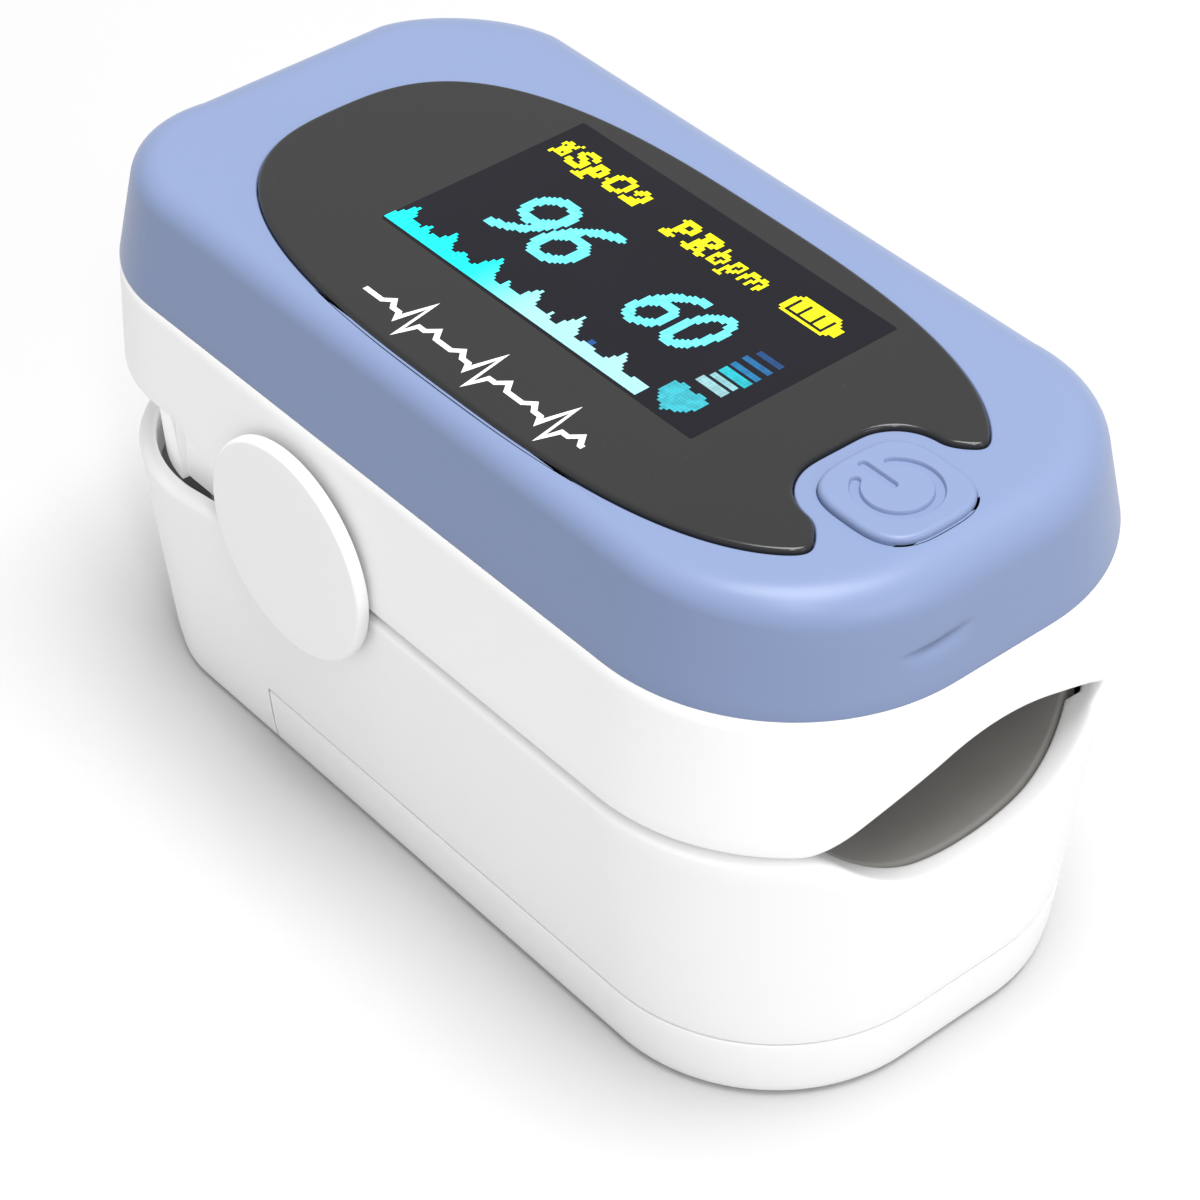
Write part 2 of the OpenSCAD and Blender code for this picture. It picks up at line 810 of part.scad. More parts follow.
module panel_gasket() {
  color([0.12, 0.12, 0.12])
  difference() {
    translate([display_x - panel_length / 2, display_y - panel_width / 2, panel_top_z])
      cube([panel_length, panel_width, gasket_thickness]);
    translate([display_x - window_length / 2 - 0.3, display_y - window_width / 2 - 0.3,
      panel_top_z - past])
      cube([window_length + 0.6, window_width + 0.6, gasket_thickness + 2 * past]);
  }
}

module panel_holder() {
  color([0.9, 0.9, 0.88])
  difference() {
    translate([display_x - panel_length / 2, display_y - panel_width / 2, board_top_z])
      cube([panel_length, panel_width, holder_thickness]);
    translate([display_x - panel_length / 2 + 1.5, display_y - panel_width / 2 + 1.5,
      board_top_z - past])
      cube([panel_length - 3, panel_width - 3, holder_thickness + 2 * past]);
  }
}

module main_board() {
  color([0.08, 0.34, 0.2])
  difference() {
    intersection() {
      plan_block(board_bottom_z, board_top_z, board_inset);
      box(board_rear_x, front_x, body_width, 0, body_height);
    }
    for (p = board_screws_at)
      translate([p[0], p[1], 0])
        cylinder(h = body_height, r = screw_radius + fit_gap);
  }
}

module board_parts() {
  color([0.13, 0.13, 0.14]) {
    // processor and amplifier inside the holder
    translate([display_x - 8, display_y - 3.5, board_top_z])
      cube([7, 7, 1]);
    translate([display_x + 3, display_y - 2, board_top_z])
      cube([5, 4, 1]);
    // capacitors and a crystal
    for (i = [0 : 3])
      translate([display_x + 0.2 + i * 2.4, display_y + 3.4, board_top_z])
        cube([1.6, 0.8, 0.7]);
    translate([display_x - 7.4, display_y + 4.6, board_top_z])
      cube([3.2, 1.5, 0.8]);
    for (i = [0 : 2])
      translate([board_rear_x + 1.2, 2 - i * 2, board_top_z])
        cube([1.6, 0.8, 0.6]);
  }
}

module board_socket() {
  color([0.85, 0.82, 0.74])
    translate([channel_rear_x - 2, -3, board_bottom_z - 1])
      cube([2.6, 6, 1]);
}

module tact_switch() {
  color([0.7, 0.7, 0.72])
  difference() {
    translate([button_x - switch_side / 2, button_y - switch_side / 2, board_top_z])
      cube([switch_side, switch_side, switch_height]);
    translate([button_x, button_y, board_top_z + 0.25])
      cylinder(h = switch_height, r = stem_radius + fit_gap);
  }
}

module switch_stem() {
  color([0.1, 0.1, 0.1])
    translate([button_x, button_y, board_top_z + switch_height - stem_sink])
      cylinder(h = flange_top_z - flange_thickness - board_top_z - switch_height + stem_sink,
        r = stem_radius);
}

module power_button() {
  color([0.6, 0.68, 0.85])
  difference() {
    union() {
      translate([button_x, button_y, flange_top_z - join])
        linear_extrude(body_height + button_proud - 0.3 - flange_top_z + join)
          rounded_square(button_side, button_radius);
      // eased top edge
      translate([button_x, button_y, body_height + button_proud - 0.3 - 0.01])
        linear_extrude(0.31)
          rounded_square(button_side - 0.5, button_radius - 0.25);
      // flange that holds the button in
      intersection() {
        translate([button_x - button_side / 2 - button_gap - flange_lip,
          button_y - button_side / 2 - button_gap - flange_lip, flange_top_z - flange_thickness])
          cube([button_side + button_gap + flange_lip - 1.6,
            button_side + 2 * (button_gap + flange_lip), flange_thickness]);
        plan_block(flange_top_z - past, flange_top_z + past, cavity_inset + 2.2 + moving_gap);
      }
    }
    // power mark, sunk in the top
    translate([button_x, button_y, body_height + button_proud - 0.2])
      linear_extrude(past) {
        difference() {
          circle(r = 2.3);
          circle(r = 1.85);
          translate([-2, 0])
            square([4, 1.9], center = true);
        }
        translate([-1.8, 0])
          square([2, 0.45], center = true);
      }
  }
}

module upper_frame() {
  color([0.86, 0.87, 0.88])
  difference() {
    union() {
      intersection() {
        plan_block(parting_z + 0.3, frame_top_z, cavity_inset + 0.15);
        box(channel_rear_x - 1.4, front_x, body_width, 0, body_height);
      }
      // plate behind the channel
      intersection() {
        plan_block(frame_top_z - frame_deck, frame_top_z, cavity_inset + 0.15);
        box(rear_x, channel_rear_x, body_width, 0, body_height);
      }
    }
    // room for the plates of the shell
    difference() {
      box(rear_x - past, notch_plate_front_x + fit_gap, body_width, 0, squeeze_gap_z + 1 + fit_gap);
      plan_block(0, body_height, skirt_bottom_inset + skirt_thickness + fit_gap);
    }
    // channel for the pad
    bar_x(channel_rear_x, front_x + past, 0, arch_axis_z, arch_radius + pad_thickness);
    ear_room();
    // emitter
    box(sensor_x - sensor_side / 2 - fit_gap, sensor_x + sensor_side / 2 + fit_gap,
      sensor_side / 2 + fit_gap, parting_z, body_height);
    // ribbon
    box(channel_rear_x - 3.4, channel_rear_x - 2, 2.6, parting_z, body_height);
    for (s = [-1, 1])
      translate([frame_screw_x, s * frame_screw_y, 0])
        cylinder(h = body_height, r = screw_radius + fit_gap);
  }
}

module upper_pad() {
  color([0.33, 0.33, 0.32])
  difference() {
    intersection() {
      difference() {
        bar_x(channel_rear_x + 0.1, pad_front_x, 0, arch_axis_z, arch_radius + pad_thickness);
        bar_x(channel_rear_x - past, front_x + past, 0, arch_axis_z, arch_radius);
      }
      box(channel_rear_x - past, front_x + past, channel_half + pad_thickness, parting_z + 0.3,
        body_height);
      plan_block(0, body_height, cavity_inset + 0.2);
    }
    box(sensor_x - window_side / 2 - fit_gap, sensor_x + window_side / 2 + fit_gap,
      window_side / 2 + fit_gap, parting_z, body_height);
    ear_room();
  }
}

module emitter() {
  color([0.85, 0.83, 0.78])
    box(sensor_x - sensor_side / 2, sensor_x + sensor_side / 2, sensor_side / 2,
      arch_top + pad_thickness + 0.05, frame_top_z);
}

module emitter_window() {
  color([0.8, 0.85, 0.85])
    box(sensor_x - window_side / 2, sensor_x + window_side / 2, window_side / 2, arch_top - 0.15,
      arch_top + pad_thickness - 0.3);
}

module emitter_board() {
  color([0.1, 0.36, 0.2])
    box(sensor_x - 4, sensor_x + 4, 2.6, frame_top_z, frame_top_z + 0.5);
}

module emitter_pins() {
  color([0.8, 0.66, 0.25])
    for (x = [-2.8, 2.8], y = [-1.6, 1.6])
      translate([sensor_x + x, y, frame_top_z + 0.5])
        cylinder(h = board_bottom_z - frame_top_z - 0.5, r = 0.3, $fn = 24);
}

module board_screws() {
  color([0.6, 0.6, 0.62])
    for (p = board_screws_at)
      translate([p[0], p[1], board_bottom_z])
        screw(3);
}

module frame_screws() {
  color([0.6, 0.6, 0.62])
    for (s = [-1, 1])
      translate([frame_screw_x, s * frame_screw_y, frame_top_z - frame_deck])
        screw(5);
}

lower_shell();
battery_cover();
lower_frame();
lower_pad();
sensor_board();
photodiode();
sensor_window();
battery_left();
battery_right();
spring_contact();
plate_contact();
bridge_contact();
hinge_pins();
pivot_cap_near();
pivot_cap_far();
torsion_springs();
lower_screws();
flex_ribbon();
upper_shell();
top_cover();
display_lens();
oled_panel();
panel_gasket();
panel_holder();
main_board();
board_parts();
board_socket();
tact_switch();
switch_stem();
power_button();
upper_frame();
upper_pad();
emitter();
emitter_window();
emitter_board();
emitter_pins();
board_screws();
frame_screws();
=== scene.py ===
# Fingertip pulse oximeter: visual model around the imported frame, sizes in millimetres.
import math

import bmesh
import bpy
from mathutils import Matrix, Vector


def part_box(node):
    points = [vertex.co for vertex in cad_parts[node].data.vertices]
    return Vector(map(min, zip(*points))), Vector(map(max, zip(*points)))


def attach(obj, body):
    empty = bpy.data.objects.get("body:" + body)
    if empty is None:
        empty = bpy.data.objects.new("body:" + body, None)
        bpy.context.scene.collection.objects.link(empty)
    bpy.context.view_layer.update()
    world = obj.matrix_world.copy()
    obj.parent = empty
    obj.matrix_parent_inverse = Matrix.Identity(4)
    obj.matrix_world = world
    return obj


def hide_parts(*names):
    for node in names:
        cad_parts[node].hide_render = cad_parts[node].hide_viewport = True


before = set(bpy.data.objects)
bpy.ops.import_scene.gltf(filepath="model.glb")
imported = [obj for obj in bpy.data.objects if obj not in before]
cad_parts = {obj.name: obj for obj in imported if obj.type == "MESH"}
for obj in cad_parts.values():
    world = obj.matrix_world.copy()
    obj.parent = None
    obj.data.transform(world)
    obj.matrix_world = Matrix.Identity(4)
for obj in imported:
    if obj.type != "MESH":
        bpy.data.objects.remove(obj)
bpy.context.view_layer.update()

MM = 0.001
TAU = 2 * math.pi


def corners(node):
    """Low and high corner of a node, in millimetres."""
    low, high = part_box(node)
    return low / MM, high / MM


# ---------- sizes taken from the frame ----------

_, shell_high = corners("upper_shell")
_, cover_high = corners("top_cover")
_, base_high = corners("lower_shell")
_, lens_high = corners("display_lens")
_, button_high = corners("power_button")
near_cap_low, near_cap_high = corners("pivot_cap_near")
lower_pad_low, _ = corners("lower_pad")
upper_pad_low, _ = corners("upper_pad")
stem_low, stem_high = corners("switch_stem")
screw_low, screw_high = corners("lower_screws")

FRONT_X, REAR_X = 29.6, -29.6
HALF = shell_high.y
TOP = cover_high.z
SEAM = 27.7
PARTING = 19.0
RIM = base_high.z
FRONT_R, REAR_R = 12.2, 9.4
SEAM_INSET = 0.35
SHOULDER, SHOULDER_INSET = TOP - 2.5, 1.15
DRAFT = 1.7
CHANNEL_HALF = 9.7
PIVOT_X = (near_cap_low.x + near_cap_high.x) / 2
PIVOT_Z = (near_cap_low.z + near_cap_high.z) / 2
LID_REAR = PIVOT_X - 5.9
LID_TOP = 4.3
LID_GAP = 0.1
BUTTON_X = (stem_low.x + stem_high.x) / 2
BUTTON_Y = (stem_low.y + stem_high.y) / 2


# ---------- shader building ----------

class Wire:
    """A value in a material that can be added, multiplied and so on."""

    def __init__(self, tree, socket):
        self.tree, self.socket = tree, socket

    def maths(self, operation, first, second):
        node = self.tree.nodes.new("ShaderNodeMath")
        node.operation = operation
        for slot, value in zip(node.inputs, (first, second)):
            if isinstance(value, Wire):
                self.tree.links.new(value.socket, slot)
            else:
                slot.default_value = value
        return Wire(self.tree, node.outputs[0])

    def __add__(self, other): return self.maths("ADD", self, other)
    def __radd__(self, other): return self.maths("ADD", other, self)
    def __sub__(self, other): return self.maths("SUBTRACT", self, other)
    def __rsub__(self, other): return self.maths("SUBTRACT", other, self)
    def __mul__(self, other): return self.maths("MULTIPLY", self, other)
    def __rmul__(self, other): return self.maths("MULTIPLY", other, self)
    def __pow__(self, other): return self.maths("POWER", self, other)
    def most(self, other): return self.maths("MAXIMUM", self, other)
    def least(self, other): return self.maths("MINIMUM", self, other)


class Finish:
    """A material with one Principled shader, built node by node."""

    def __init__(self, name, **constants):
        self.material = bpy.data.materials.new(name)
        self.material.use_nodes = True
        self.tree = self.material.node_tree
        self.shader = self.tree.nodes["Principled BSDF"]
        for socket, value in constants.items():
            self.shader.inputs[socket.replace("_", " ")].default_value = value
        self.place = Wire(self.tree, self.node("ShaderNodeTexCoord").outputs["Object"])

    def axes(self):
        """The three coordinates of the point that is shaded, in metres."""
        split = self.node("ShaderNodeSeparateXYZ", values={"Vector": self.place})
        return [Wire(self.tree, socket) for socket in split.outputs[:3]]

    def node(self, kind, settings=None, values=None):
        node = self.tree.nodes.new(kind)
        for name, value in (settings or {}).items():
            if name == "stops":
                ramp = node.color_ramp
                while len(ramp.elements) < len(value):
                    ramp.elements.new(0.5)
                for element, (position, colour) in zip(ramp.elements, value):
                    element.position, element.color = position, colour
            else:
                setattr(node, name, value)
        for name, value in (values or {}).items():
            if isinstance(value, Wire):
                self.tree.links.new(value.socket, node.inputs[name])
            else:
                node.inputs[name].default_value = value
        return node

    def noise(self, scale, detail=3.0, stretch=None):
        """Cloudy value from 0 to 1, with about scale patches to a metre."""
        place = self.place
        if stretch:
            place = Wire(self.tree, self.node(
                "ShaderNodeMapping", values={"Vector": place, "Scale": stretch}).outputs[0])
        node = self.node("ShaderNodeTexNoise", values={
            "Vector": place, "Scale": scale, "Detail": detail})
        return Wire(self.tree, node.outputs["Fac"])

    def blend(self, mask, first, second):
        """Colour between first and second by a mask."""
        node = self.node("ShaderNodeMix", {"data_type": "RGBA"})
        for slot, value in zip((0, 6, 7), (mask, first, second)):
            if isinstance(value, Wire):
                self.tree.links.new(value.socket, node.inputs[slot])
            else:
                node.inputs[slot].default_value = value
        return Wire(self.tree, node.outputs[2])

    def bands(self, value, low, high):
        """0 below low, 1 above high, smooth between."""
        node = self.node("ShaderNodeMapRange", {"interpolation_type": "SMOOTHSTEP"}, {
            "Value": value, "From Min": low, "From Max": high})
        return Wire(self.tree, node.outputs[0])

    def feed(self, **wires):
        for socket, wire in wires.items():
            self.tree.links.new(wire.socket, self.shader.inputs[socket.replace("_", " ")])

    def bump(self, height, strength, distance):
        node = self.node("ShaderNodeBump", values={
            "Height": height, "Strength": strength, "Distance": distance * MM})
        self.feed(Normal=Wire(self.tree, node.outputs[0]))


def rgb(red, green, blue):
    return (red, green, blue, 1.0)


def moulded(name, colour, roughness, grain=0.25, tone=0.04, painted_hollow_glow=0.0, **constants):
    """Injection moulded plastic: fine spark grain, faint flow clouding, light handling marks.

    A painted glow, a grey emission, lights the hollow at the squeezed end, so its shade is not
    black.
    """
    finish = Finish(name, **constants)
    if painted_hollow_glow:
        # painted glow: grey emission over the rear hollow lifts the shade there
        x, y, z = finish.axes()
        finish.shader.inputs["Emission Strength"].default_value = painted_hollow_glow
        dx = ((REAR_X + REAR_R) * MM - x).most(0)
        dy = (y.maths("ABSOLUTE", y, 0) - (HALF - REAR_R) * MM).most(0)
        depth = REAR_R * MM - (dx * dx + dy * dy) ** 0.5
        # mask of the rear hollow where the painted glow shows
        inside = (finish.bands(depth, 1.0 * MM, 1.6 * MM) * finish.bands(z, 7 * MM, 12 * MM) *
                  (1 - finish.bands(x, (PIVOT_X - 6) * MM, (PIVOT_X - 4) * MM)))
        finish.feed(Emission_Color=finish.blend(inside, rgb(0, 0, 0), rgb(0.5, 0.5, 0.5)))
    clouds = finish.noise(90, 4)
    flow = finish.noise(160, 3, (0.25, 1.0, 1.0))
    grit = finish.noise(7000, 2)
    rub = finish.bands(finish.noise(420, 5, (0.15, 1.0, 1.0)), 0.62, 0.78)
    shade = 1 - tone
    darker = rgb(colour[0] * shade, colour[1] * shade, colour[2] * shade)
    finish.feed(
        Base_Color=finish.blend((clouds * 0.6 + flow * 0.4).least(1), rgb(*colour), darker),
        Roughness=roughness + (flow - 0.5) * 0.06 + grit * 0.04 + rub * 0.05)
    finish.bump(grit * 0.8 + clouds * 0.2, grain, 0.006)
    return finish.material


def glass_black():
    """Smoke black printed lens with a clear hard coat."""
    finish = Finish("smoked_lens", Roughness=0.22, Specular_IOR_Level=0.3, Coat_Roughness=0.06,
                    Coat_Weight=0.2)
    dust = finish.bands(finish.noise(5200, 1), 0.76, 0.84)
    haze = finish.noise(70, 4)
    smear = finish.noise(240, 4, (0.3, 1.0, 1.0))
    finish.feed(
        Base_Color=finish.blend(dust * 0.5, finish.blend(haze, rgb(0.017, 0.017, 0.017),
                                                         rgb(0.021, 0.021, 0.021)),
                                rgb(0.04, 0.04, 0.04)),
        Roughness=0.2 + smear * 0.08 + dust * 0.15)
    finish.bump(haze * 0.7 + smear * 0.3, 0.05, 0.01)
    return finish.material


def dark_window():
    """Unlit display under the lens."""
    finish = Finish("dark_display_window", Roughness=0.16, Specular_IOR_Level=0.12)
    haze = finish.noise(120, 3)
    finish.feed(
        Base_Color=finish.blend(haze, rgb(0.0085, 0.0085, 0.012), rgb(0.0125, 0.0125, 0.017)),
        Roughness=0.14 + haze * 0.06)
    return finish.material


def silicone():
    """Soft matt rubber with a dusty bloom."""
    finish = Finish("grey_silicone_rubber", Specular_IOR_Level=0.3, Sheen_Weight=0.12,
                    Sheen_Roughness=0.6)
    bloom = finish.noise(210, 5)
    skin = finish.noise(5200, 3)
    finish.feed(
        Base_Color=finish.blend(bloom, rgb(0.235, 0.228, 0.215), rgb(0.275, 0.267, 0.252)),
        Roughness=0.62 + bloom * 0.12 + skin * 0.05)
    finish.bump(skin, 0.35, 0.01)
    return finish.material


def brushed_metal(name, colour, roughness):
    """Drawn metal with fine lines along it and a faint stain."""
    finish = Finish(name, Metallic=1.0)
    drawn = finish.noise(2600, 4, (0.06, 1.0, 1.0))
    stain = finish.noise(320, 3)
    finish.feed(
        Base_Color=finish.blend(stain * 0.6, rgb(*colour),
                                rgb(colour[0] * 0.8, colour[1] * 0.78, colour[2] * 0.74)),
        Roughness=roughness + drawn * 0.15)
    finish.bump(drawn, 0.2, 0.004)
    return finish.material


def laminate(name, colour, track):
    """Circuit board under solder mask, with faint tracks below it."""
    finish = Finish(name, Specular_IOR_Level=0.5, Coat_Weight=0.3, Coat_Roughness=0.2)
    weave = finish.noise(1500, 2, (1.0, 0.2, 1.0))
    lines = finish.bands(finish.noise(900, 0, (0.15, 1.0, 1.0)), 0.5, 0.53)
    finish.feed(
        Base_Color=finish.blend(lines * 0.7, rgb(*colour), rgb(*track)),
        Roughness=0.4 + weave * 0.1)
    finish.bump(lines * 0.7 + weave * 0.3, 0.2, 0.01)
    return finish.material


BAND_START = 8.0


def wrapped_cell():
    """Printed sleeve of a plain cell: a light band and a dark band along its length."""
    finish = Finish("cell_sleeve", Specular_IOR_Level=0.5, Coat_Weight=0.4, Coat_Roughness=0.15)
    band = finish.bands(finish.axes()[0], BAND_START * MM, (BAND_START + 0.5) * MM)
    flake = finish.noise(3000, 3)
    finish.feed(
        Base_Color=finish.blend(band, rgb(0.06, 0.1, 0.19), rgb(0.55, 0.57, 0.6)),
        Roughness=0.3 + flake * 0.1)
    finish.bump(flake, 0.1, 0.006)
    return finish.material


def lit(name, colour, strength, far=None):
    """Lit display tiles, a little uneven from one to the next.

    With far, the colour runs over from x = start to x = end into another one.
    """
    finish = Finish(name, Roughness=0.6, Emission_Strength=strength, Specular_IOR_Level=0.0)
    dots = finish.noise(2600, 0)
    dim = rgb(colour[0] * 0.8, colour[1] * 0.8, colour[2] * 0.8)
    glow = finish.blend(finish.bands(dots, 0.3, 0.7), dim, rgb(*colour))
    if far:
        start, end, colour = far
        glow = finish.blend(finish.bands(finish.axes()[0], start * MM, end * MM), glow,
                            rgb(*colour))
    finish.feed(Emission_Color=glow)
    finish.shader.inputs["Base Color"].default_value = rgb(0.02, 0.02, 0.02)
    return finish.material


# the white plastic carries a painted glow that lights the shaded hollow at the squeezed end
white = moulded("white_moulded_plastic", (0.89, 0.89, 0.89), 0.36, 0.2, 0.02,
                painted_hollow_glow=0.28, Specular_IOR_Level=0.4)
white_cap = moulded("white_cap_plastic", (0.87, 0.87, 0.87), 0.3, 0.16, 0.02,
                    Specular_IOR_Level=0.45)
frame_white = moulded("inner_frame_plastic", (0.62, 0.62, 0.62), 0.5, 0.3, 0.05)
blue = moulded("blue_moulded_plastic", (0.192, 0.248, 0.408), 0.31, 0.2, 0.03,
               Specular_IOR_Level=0.28)
lens_black = glass_black()
window_black = dark_window()
rubber = silicone()
steel = brushed_metal("plated_steel", (0.62, 0.61, 0.58), 0.25)
gold = brushed_metal("gilt_pins", (0.75, 0.55, 0.2), 0.25)
board_green = laminate("green_board", (0.02, 0.12, 0.06), (0.04, 0.2, 0.1))
black_plastic = moulded("black_component_plastic", (0.03, 0.03, 0.032), 0.45, 0.3, 0.2)
foam = moulded("black_foam", (0.025, 0.025, 0.025), 0.85, 0.8, 0.3)
cream = moulded("cream_connector_plastic", (0.62, 0.56, 0.42), 0.45)
amber = moulded("amber_ribbon_film", (0.45, 0.2, 0.03), 0.25, 0.1, 0.2)
clear = moulded("clear_red_window", (0.16, 0.03, 0.03), 0.12, 0.05, 0.2, Coat_Weight=0.6)
sleeve = wrapped_cell()


# ---------- mesh building ----------

def piece(name, verts, faces, material, body, part_slot, stands_for=(), sharp=35.0, weighted=True):
    """Makes one mesh piece from millimetre points and puts it on its body."""
    mesh = bpy.data.meshes.new(name)
    mesh.from_pydata([Vector(v) * MM for v in verts], [], faces)
    mesh.validate()
    shape = bmesh.new()
    shape.from_mesh(mesh)
    bmesh.ops.remove_doubles(shape, verts=shape.verts, dist=0.002 * MM)
    bmesh.ops.recalc_face_normals(shape, faces=shape.faces)
    shape.to_mesh(mesh)
    shape.free()
    mesh.shade_smooth()
    mesh.set_sharp_from_angle(angle=math.radians(sharp))
    made = bpy.data.objects.new(name, mesh)
    bpy.context.collection.objects.link(made)
    mesh.materials.append(material)
    if weighted:
        even = made.modifiers.new("even_shading", "WEIGHTED_NORMAL")
        even.keep_sharp = True
        even.weight = 80
    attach(made, body)
    if stands_for:
        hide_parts(*stands_for)
    return made


def ring(cx, cy, rx, ry, start=0, end=360, steps=28):
    """Points on an oval arc, angles in degrees, both ends included."""
    return [(cx + rx * math.cos(math.radians(start + (end - start) * i / steps)),
             cy + ry * math.sin(math.radians(start + (end - start) * i / steps)))
            for i in range(steps + 1)]


def arc(cx, cy, radius, start, end, steps):
    """Points on a round arc."""
    return ring(cx, cy, radius, radius, start, end, steps)


def plan_samples():
    """Points round the plan of the body with the outward direction at each, anticlockwise."""
    found = []

    def straight(x0, y0, x1, y1, nx, ny, steps):
        for i in range(steps):
            t = i / steps
            found.append((x0 + (x1 - x0) * t, y0 + (y1 - y0) * t, nx, ny))

    def corner(cx, cy, radius, start, steps):
        for i in range(steps):
            a = math.radians(start + 90.0 * i / steps)
            found.append((cx + radius * math.cos(a), cy + radius * math.sin(a),
                          math.cos(a), math.sin(a)))

    rear = REAR_X + REAR_R
    front = FRONT_X - FRONT_R
    stops = [rear, LID_REAR - 0.12, LID_REAR - 0.1, front]
    for x0, x1 in zip(stops, stops[1:]):
        straight(x0, -HALF, x1, -HALF, 0, -1, max(1, round((x1 - x0) / 0.4)))
    corner(front, FRONT_R - HALF, FRONT_R, -90, 56)
    straight(FRONT_X, FRONT_R - HALF, FRONT_X, HALF - FRONT_R, 1, 0, 18)
    corner(front, HALF - FRONT_R, FRONT_R, 0, 56)
    stops.reverse()
    for x0, x1 in zip(stops, stops[1:]):
        straight(x0, HALF, x1, HALF, 0, 1, max(1, round((x0 - x1) / 0.4)))
    corner(rear, HALF - REAR_R, REAR_R, 90, 48)
    straight(REAR_X, HALF - REAR_R, REAR_X, REAR_R - HALF, -1, 0, 26)
    corner(rear, REAR_R - HALF, REAR_R, 180, 48)
    return found


PLAN = plan_samples()


def at_inset(sample, inset):
    """Point inside a place on the plan, by inset."""
    return sample[0] - sample[2] * inset, sample[1] - sample[3] * inset


def loft(columns, closed=True):
    """Quads between neighbouring columns of points, all of one length."""
    verts, faces = [], []
    rows = len(columns[0])
    for column in columns:
        verts.extend(column)
    count = len(columns)
    for i in range(count if closed else count - 1):
        a, b = i * rows, (i + 1) % count * rows
        for j in range(rows - 1):
            faces.append((a + j, b + j, b + j + 1, a + j + 1))
    return verts, faces


def joined(*parts):
    """Several lists of points and faces as one."""
    verts, faces = [], []
    for more_verts, more_faces in parts:
        start = len(verts)
        verts.extend(more_verts)
        faces.extend(tuple(i + start for i in face) for face in more_faces)
    return verts, faces


def filled(z, outline, holes=()):
    """Flat face at height z inside an outline and outside holes."""
    shape = bmesh.new()
    for loop in (outline, *holes):
        row = [shape.verts.new((x, y, z)) for x, y in loop]
        for before, after in zip(row, row[1:] + row[:1]):
            shape.edges.new((before, after))
    bmesh.ops.triangle_fill(shape, edges=shape.edges, use_beauty=True)
    shape.verts.index_update()
    verts = [tuple(v.co) for v in shape.verts]
    faces = [tuple(v.index for v in face.verts) for face in shape.faces]
    shape.free()
    return verts, faces


def wall(outline, heights, insets=None):
    """Band that follows an outline down or up through several heights."""
    count = len(outline)
    insets = insets or [0.0] * len(heights)
    columns = []
    for i, (x, y) in enumerate(outline):
        before, after = outline[i - 1], outline[(i + 1) % count]
        dx, dy = after[0] - before[0], after[1] - before[1]
        size = math.hypot(dx, dy) or 1
        nx, ny = dy / size, -dx / size
        columns.append([(x - nx * inset, y - ny * inset, z) for z, inset in zip(heights, insets)])
    return loft(columns)


def eased(outline, spread, step=0.12):
    """Closed outline resampled evenly and softened over about spread millimetres."""
    points = []
    count = len(outline)
    for i in range(count):
        (x0, y0), (x1, y1) = outline[i], outline[(i + 1) % count]
        parts = max(1, round(math.hypot(x1 - x0, y1 - y0) / step))
        points.extend((x0 + (x1 - x0) * k / parts, y0 + (y1 - y0) * k / parts)
                      for k in range(parts))
    for _ in range(max(1, round(2 * (spread / step) ** 2))):
        points = [((a[0] + 2 * b[0] + c[0]) / 4, (a[1] + 2 * b[1] + c[1]) / 4)
                  for a, b, c in zip(points[-1:] + points[:-1], points, points[1:] + points[:1])]
    return points


def soft_least(a, b, reach):
    h = max(reach - abs(a - b), 0) / reach
    return min(a, b) - h * h * reach / 4


def soft_most(a, b, reach):
    return -soft_least(-a, -b, reach)


def between(x, table):
    """Straight interpolation in a table of (x, value), flat outside it."""
    if x <= table[0][0]:
        return table[0][1]
    for (x0, v0), (x1, v1) in zip(table, table[1:]):
        if x <= x1:
            return v0 + (v1 - v0) * (x - x0) / (x1 - x0)
    return table[-1][1]


# ---------- heights of the edges ----------

TROUGH_BOTTOM = 14.1
TROUGH_DEPTH = PARTING - TROUGH_BOTTOM
TROUGH_R = (CHANNEL_HALF ** 2 + TROUGH_DEPTH ** 2) / (2 * TROUGH_DEPTH)
ARCH_RISE = 4.4
ARCH_R = (CHANNEL_HALF ** 2 + ARCH_RISE ** 2) / (2 * ARCH_RISE)
WEDGE_START = PIVOT_X - 6.1
WEDGE_FULL = WEDGE_START - 5.2
NOTCH_Z = PARTING + 2.1
REAR_RIM = PARTING - 3.7


def trough(y):
    """Height of the finger trough at y from the middle."""
    reach = abs(y)
    if reach < TROUGH_R * 0.94:
        return TROUGH_BOTTOM + TROUGH_R - math.sqrt(TROUGH_R ** 2 - reach ** 2)
    return PARTING + 4


def arch(y):
    """Height of the arch over the finger at y from the middle."""
    reach = abs(y)
    if reach < ARCH_R * 0.98:
        return PARTING + ARCH_RISE - ARCH_R + math.sqrt(ARCH_R ** 2 - reach ** 2)
    return PARTING - 4


def lower_rim(x, y):
    """Height of the rim of the lower shell."""
    z = RIM
    if x > 5:
        z = soft_least(z, trough(y), 1.3)
    if x < PIVOT_X:
        z = min(z, between(x, [(WEDGE_START - 6.4, REAR_RIM), (WEDGE_START + 0.6, REAR_RIM + 1.3),
                               (PIVOT_X, RIM)]))
    return z


def upper_edge(x, y):
    """Height of the lower edge of the upper shell."""
    z = PARTING
    if x > 5:
        z = soft_most(z, arch(y), 1.5)
    if x < PIVOT_X:
        z = max(z, between(x, [(WEDGE_FULL, NOTCH_Z), (WEDGE_START, PARTING)]))
    return z


def lower_inset(z):
    """Draft of the lower shell's wall, from the rim down."""
    return DRAFT * (RIM - z) / RIM


# ---------- lower shell ----------

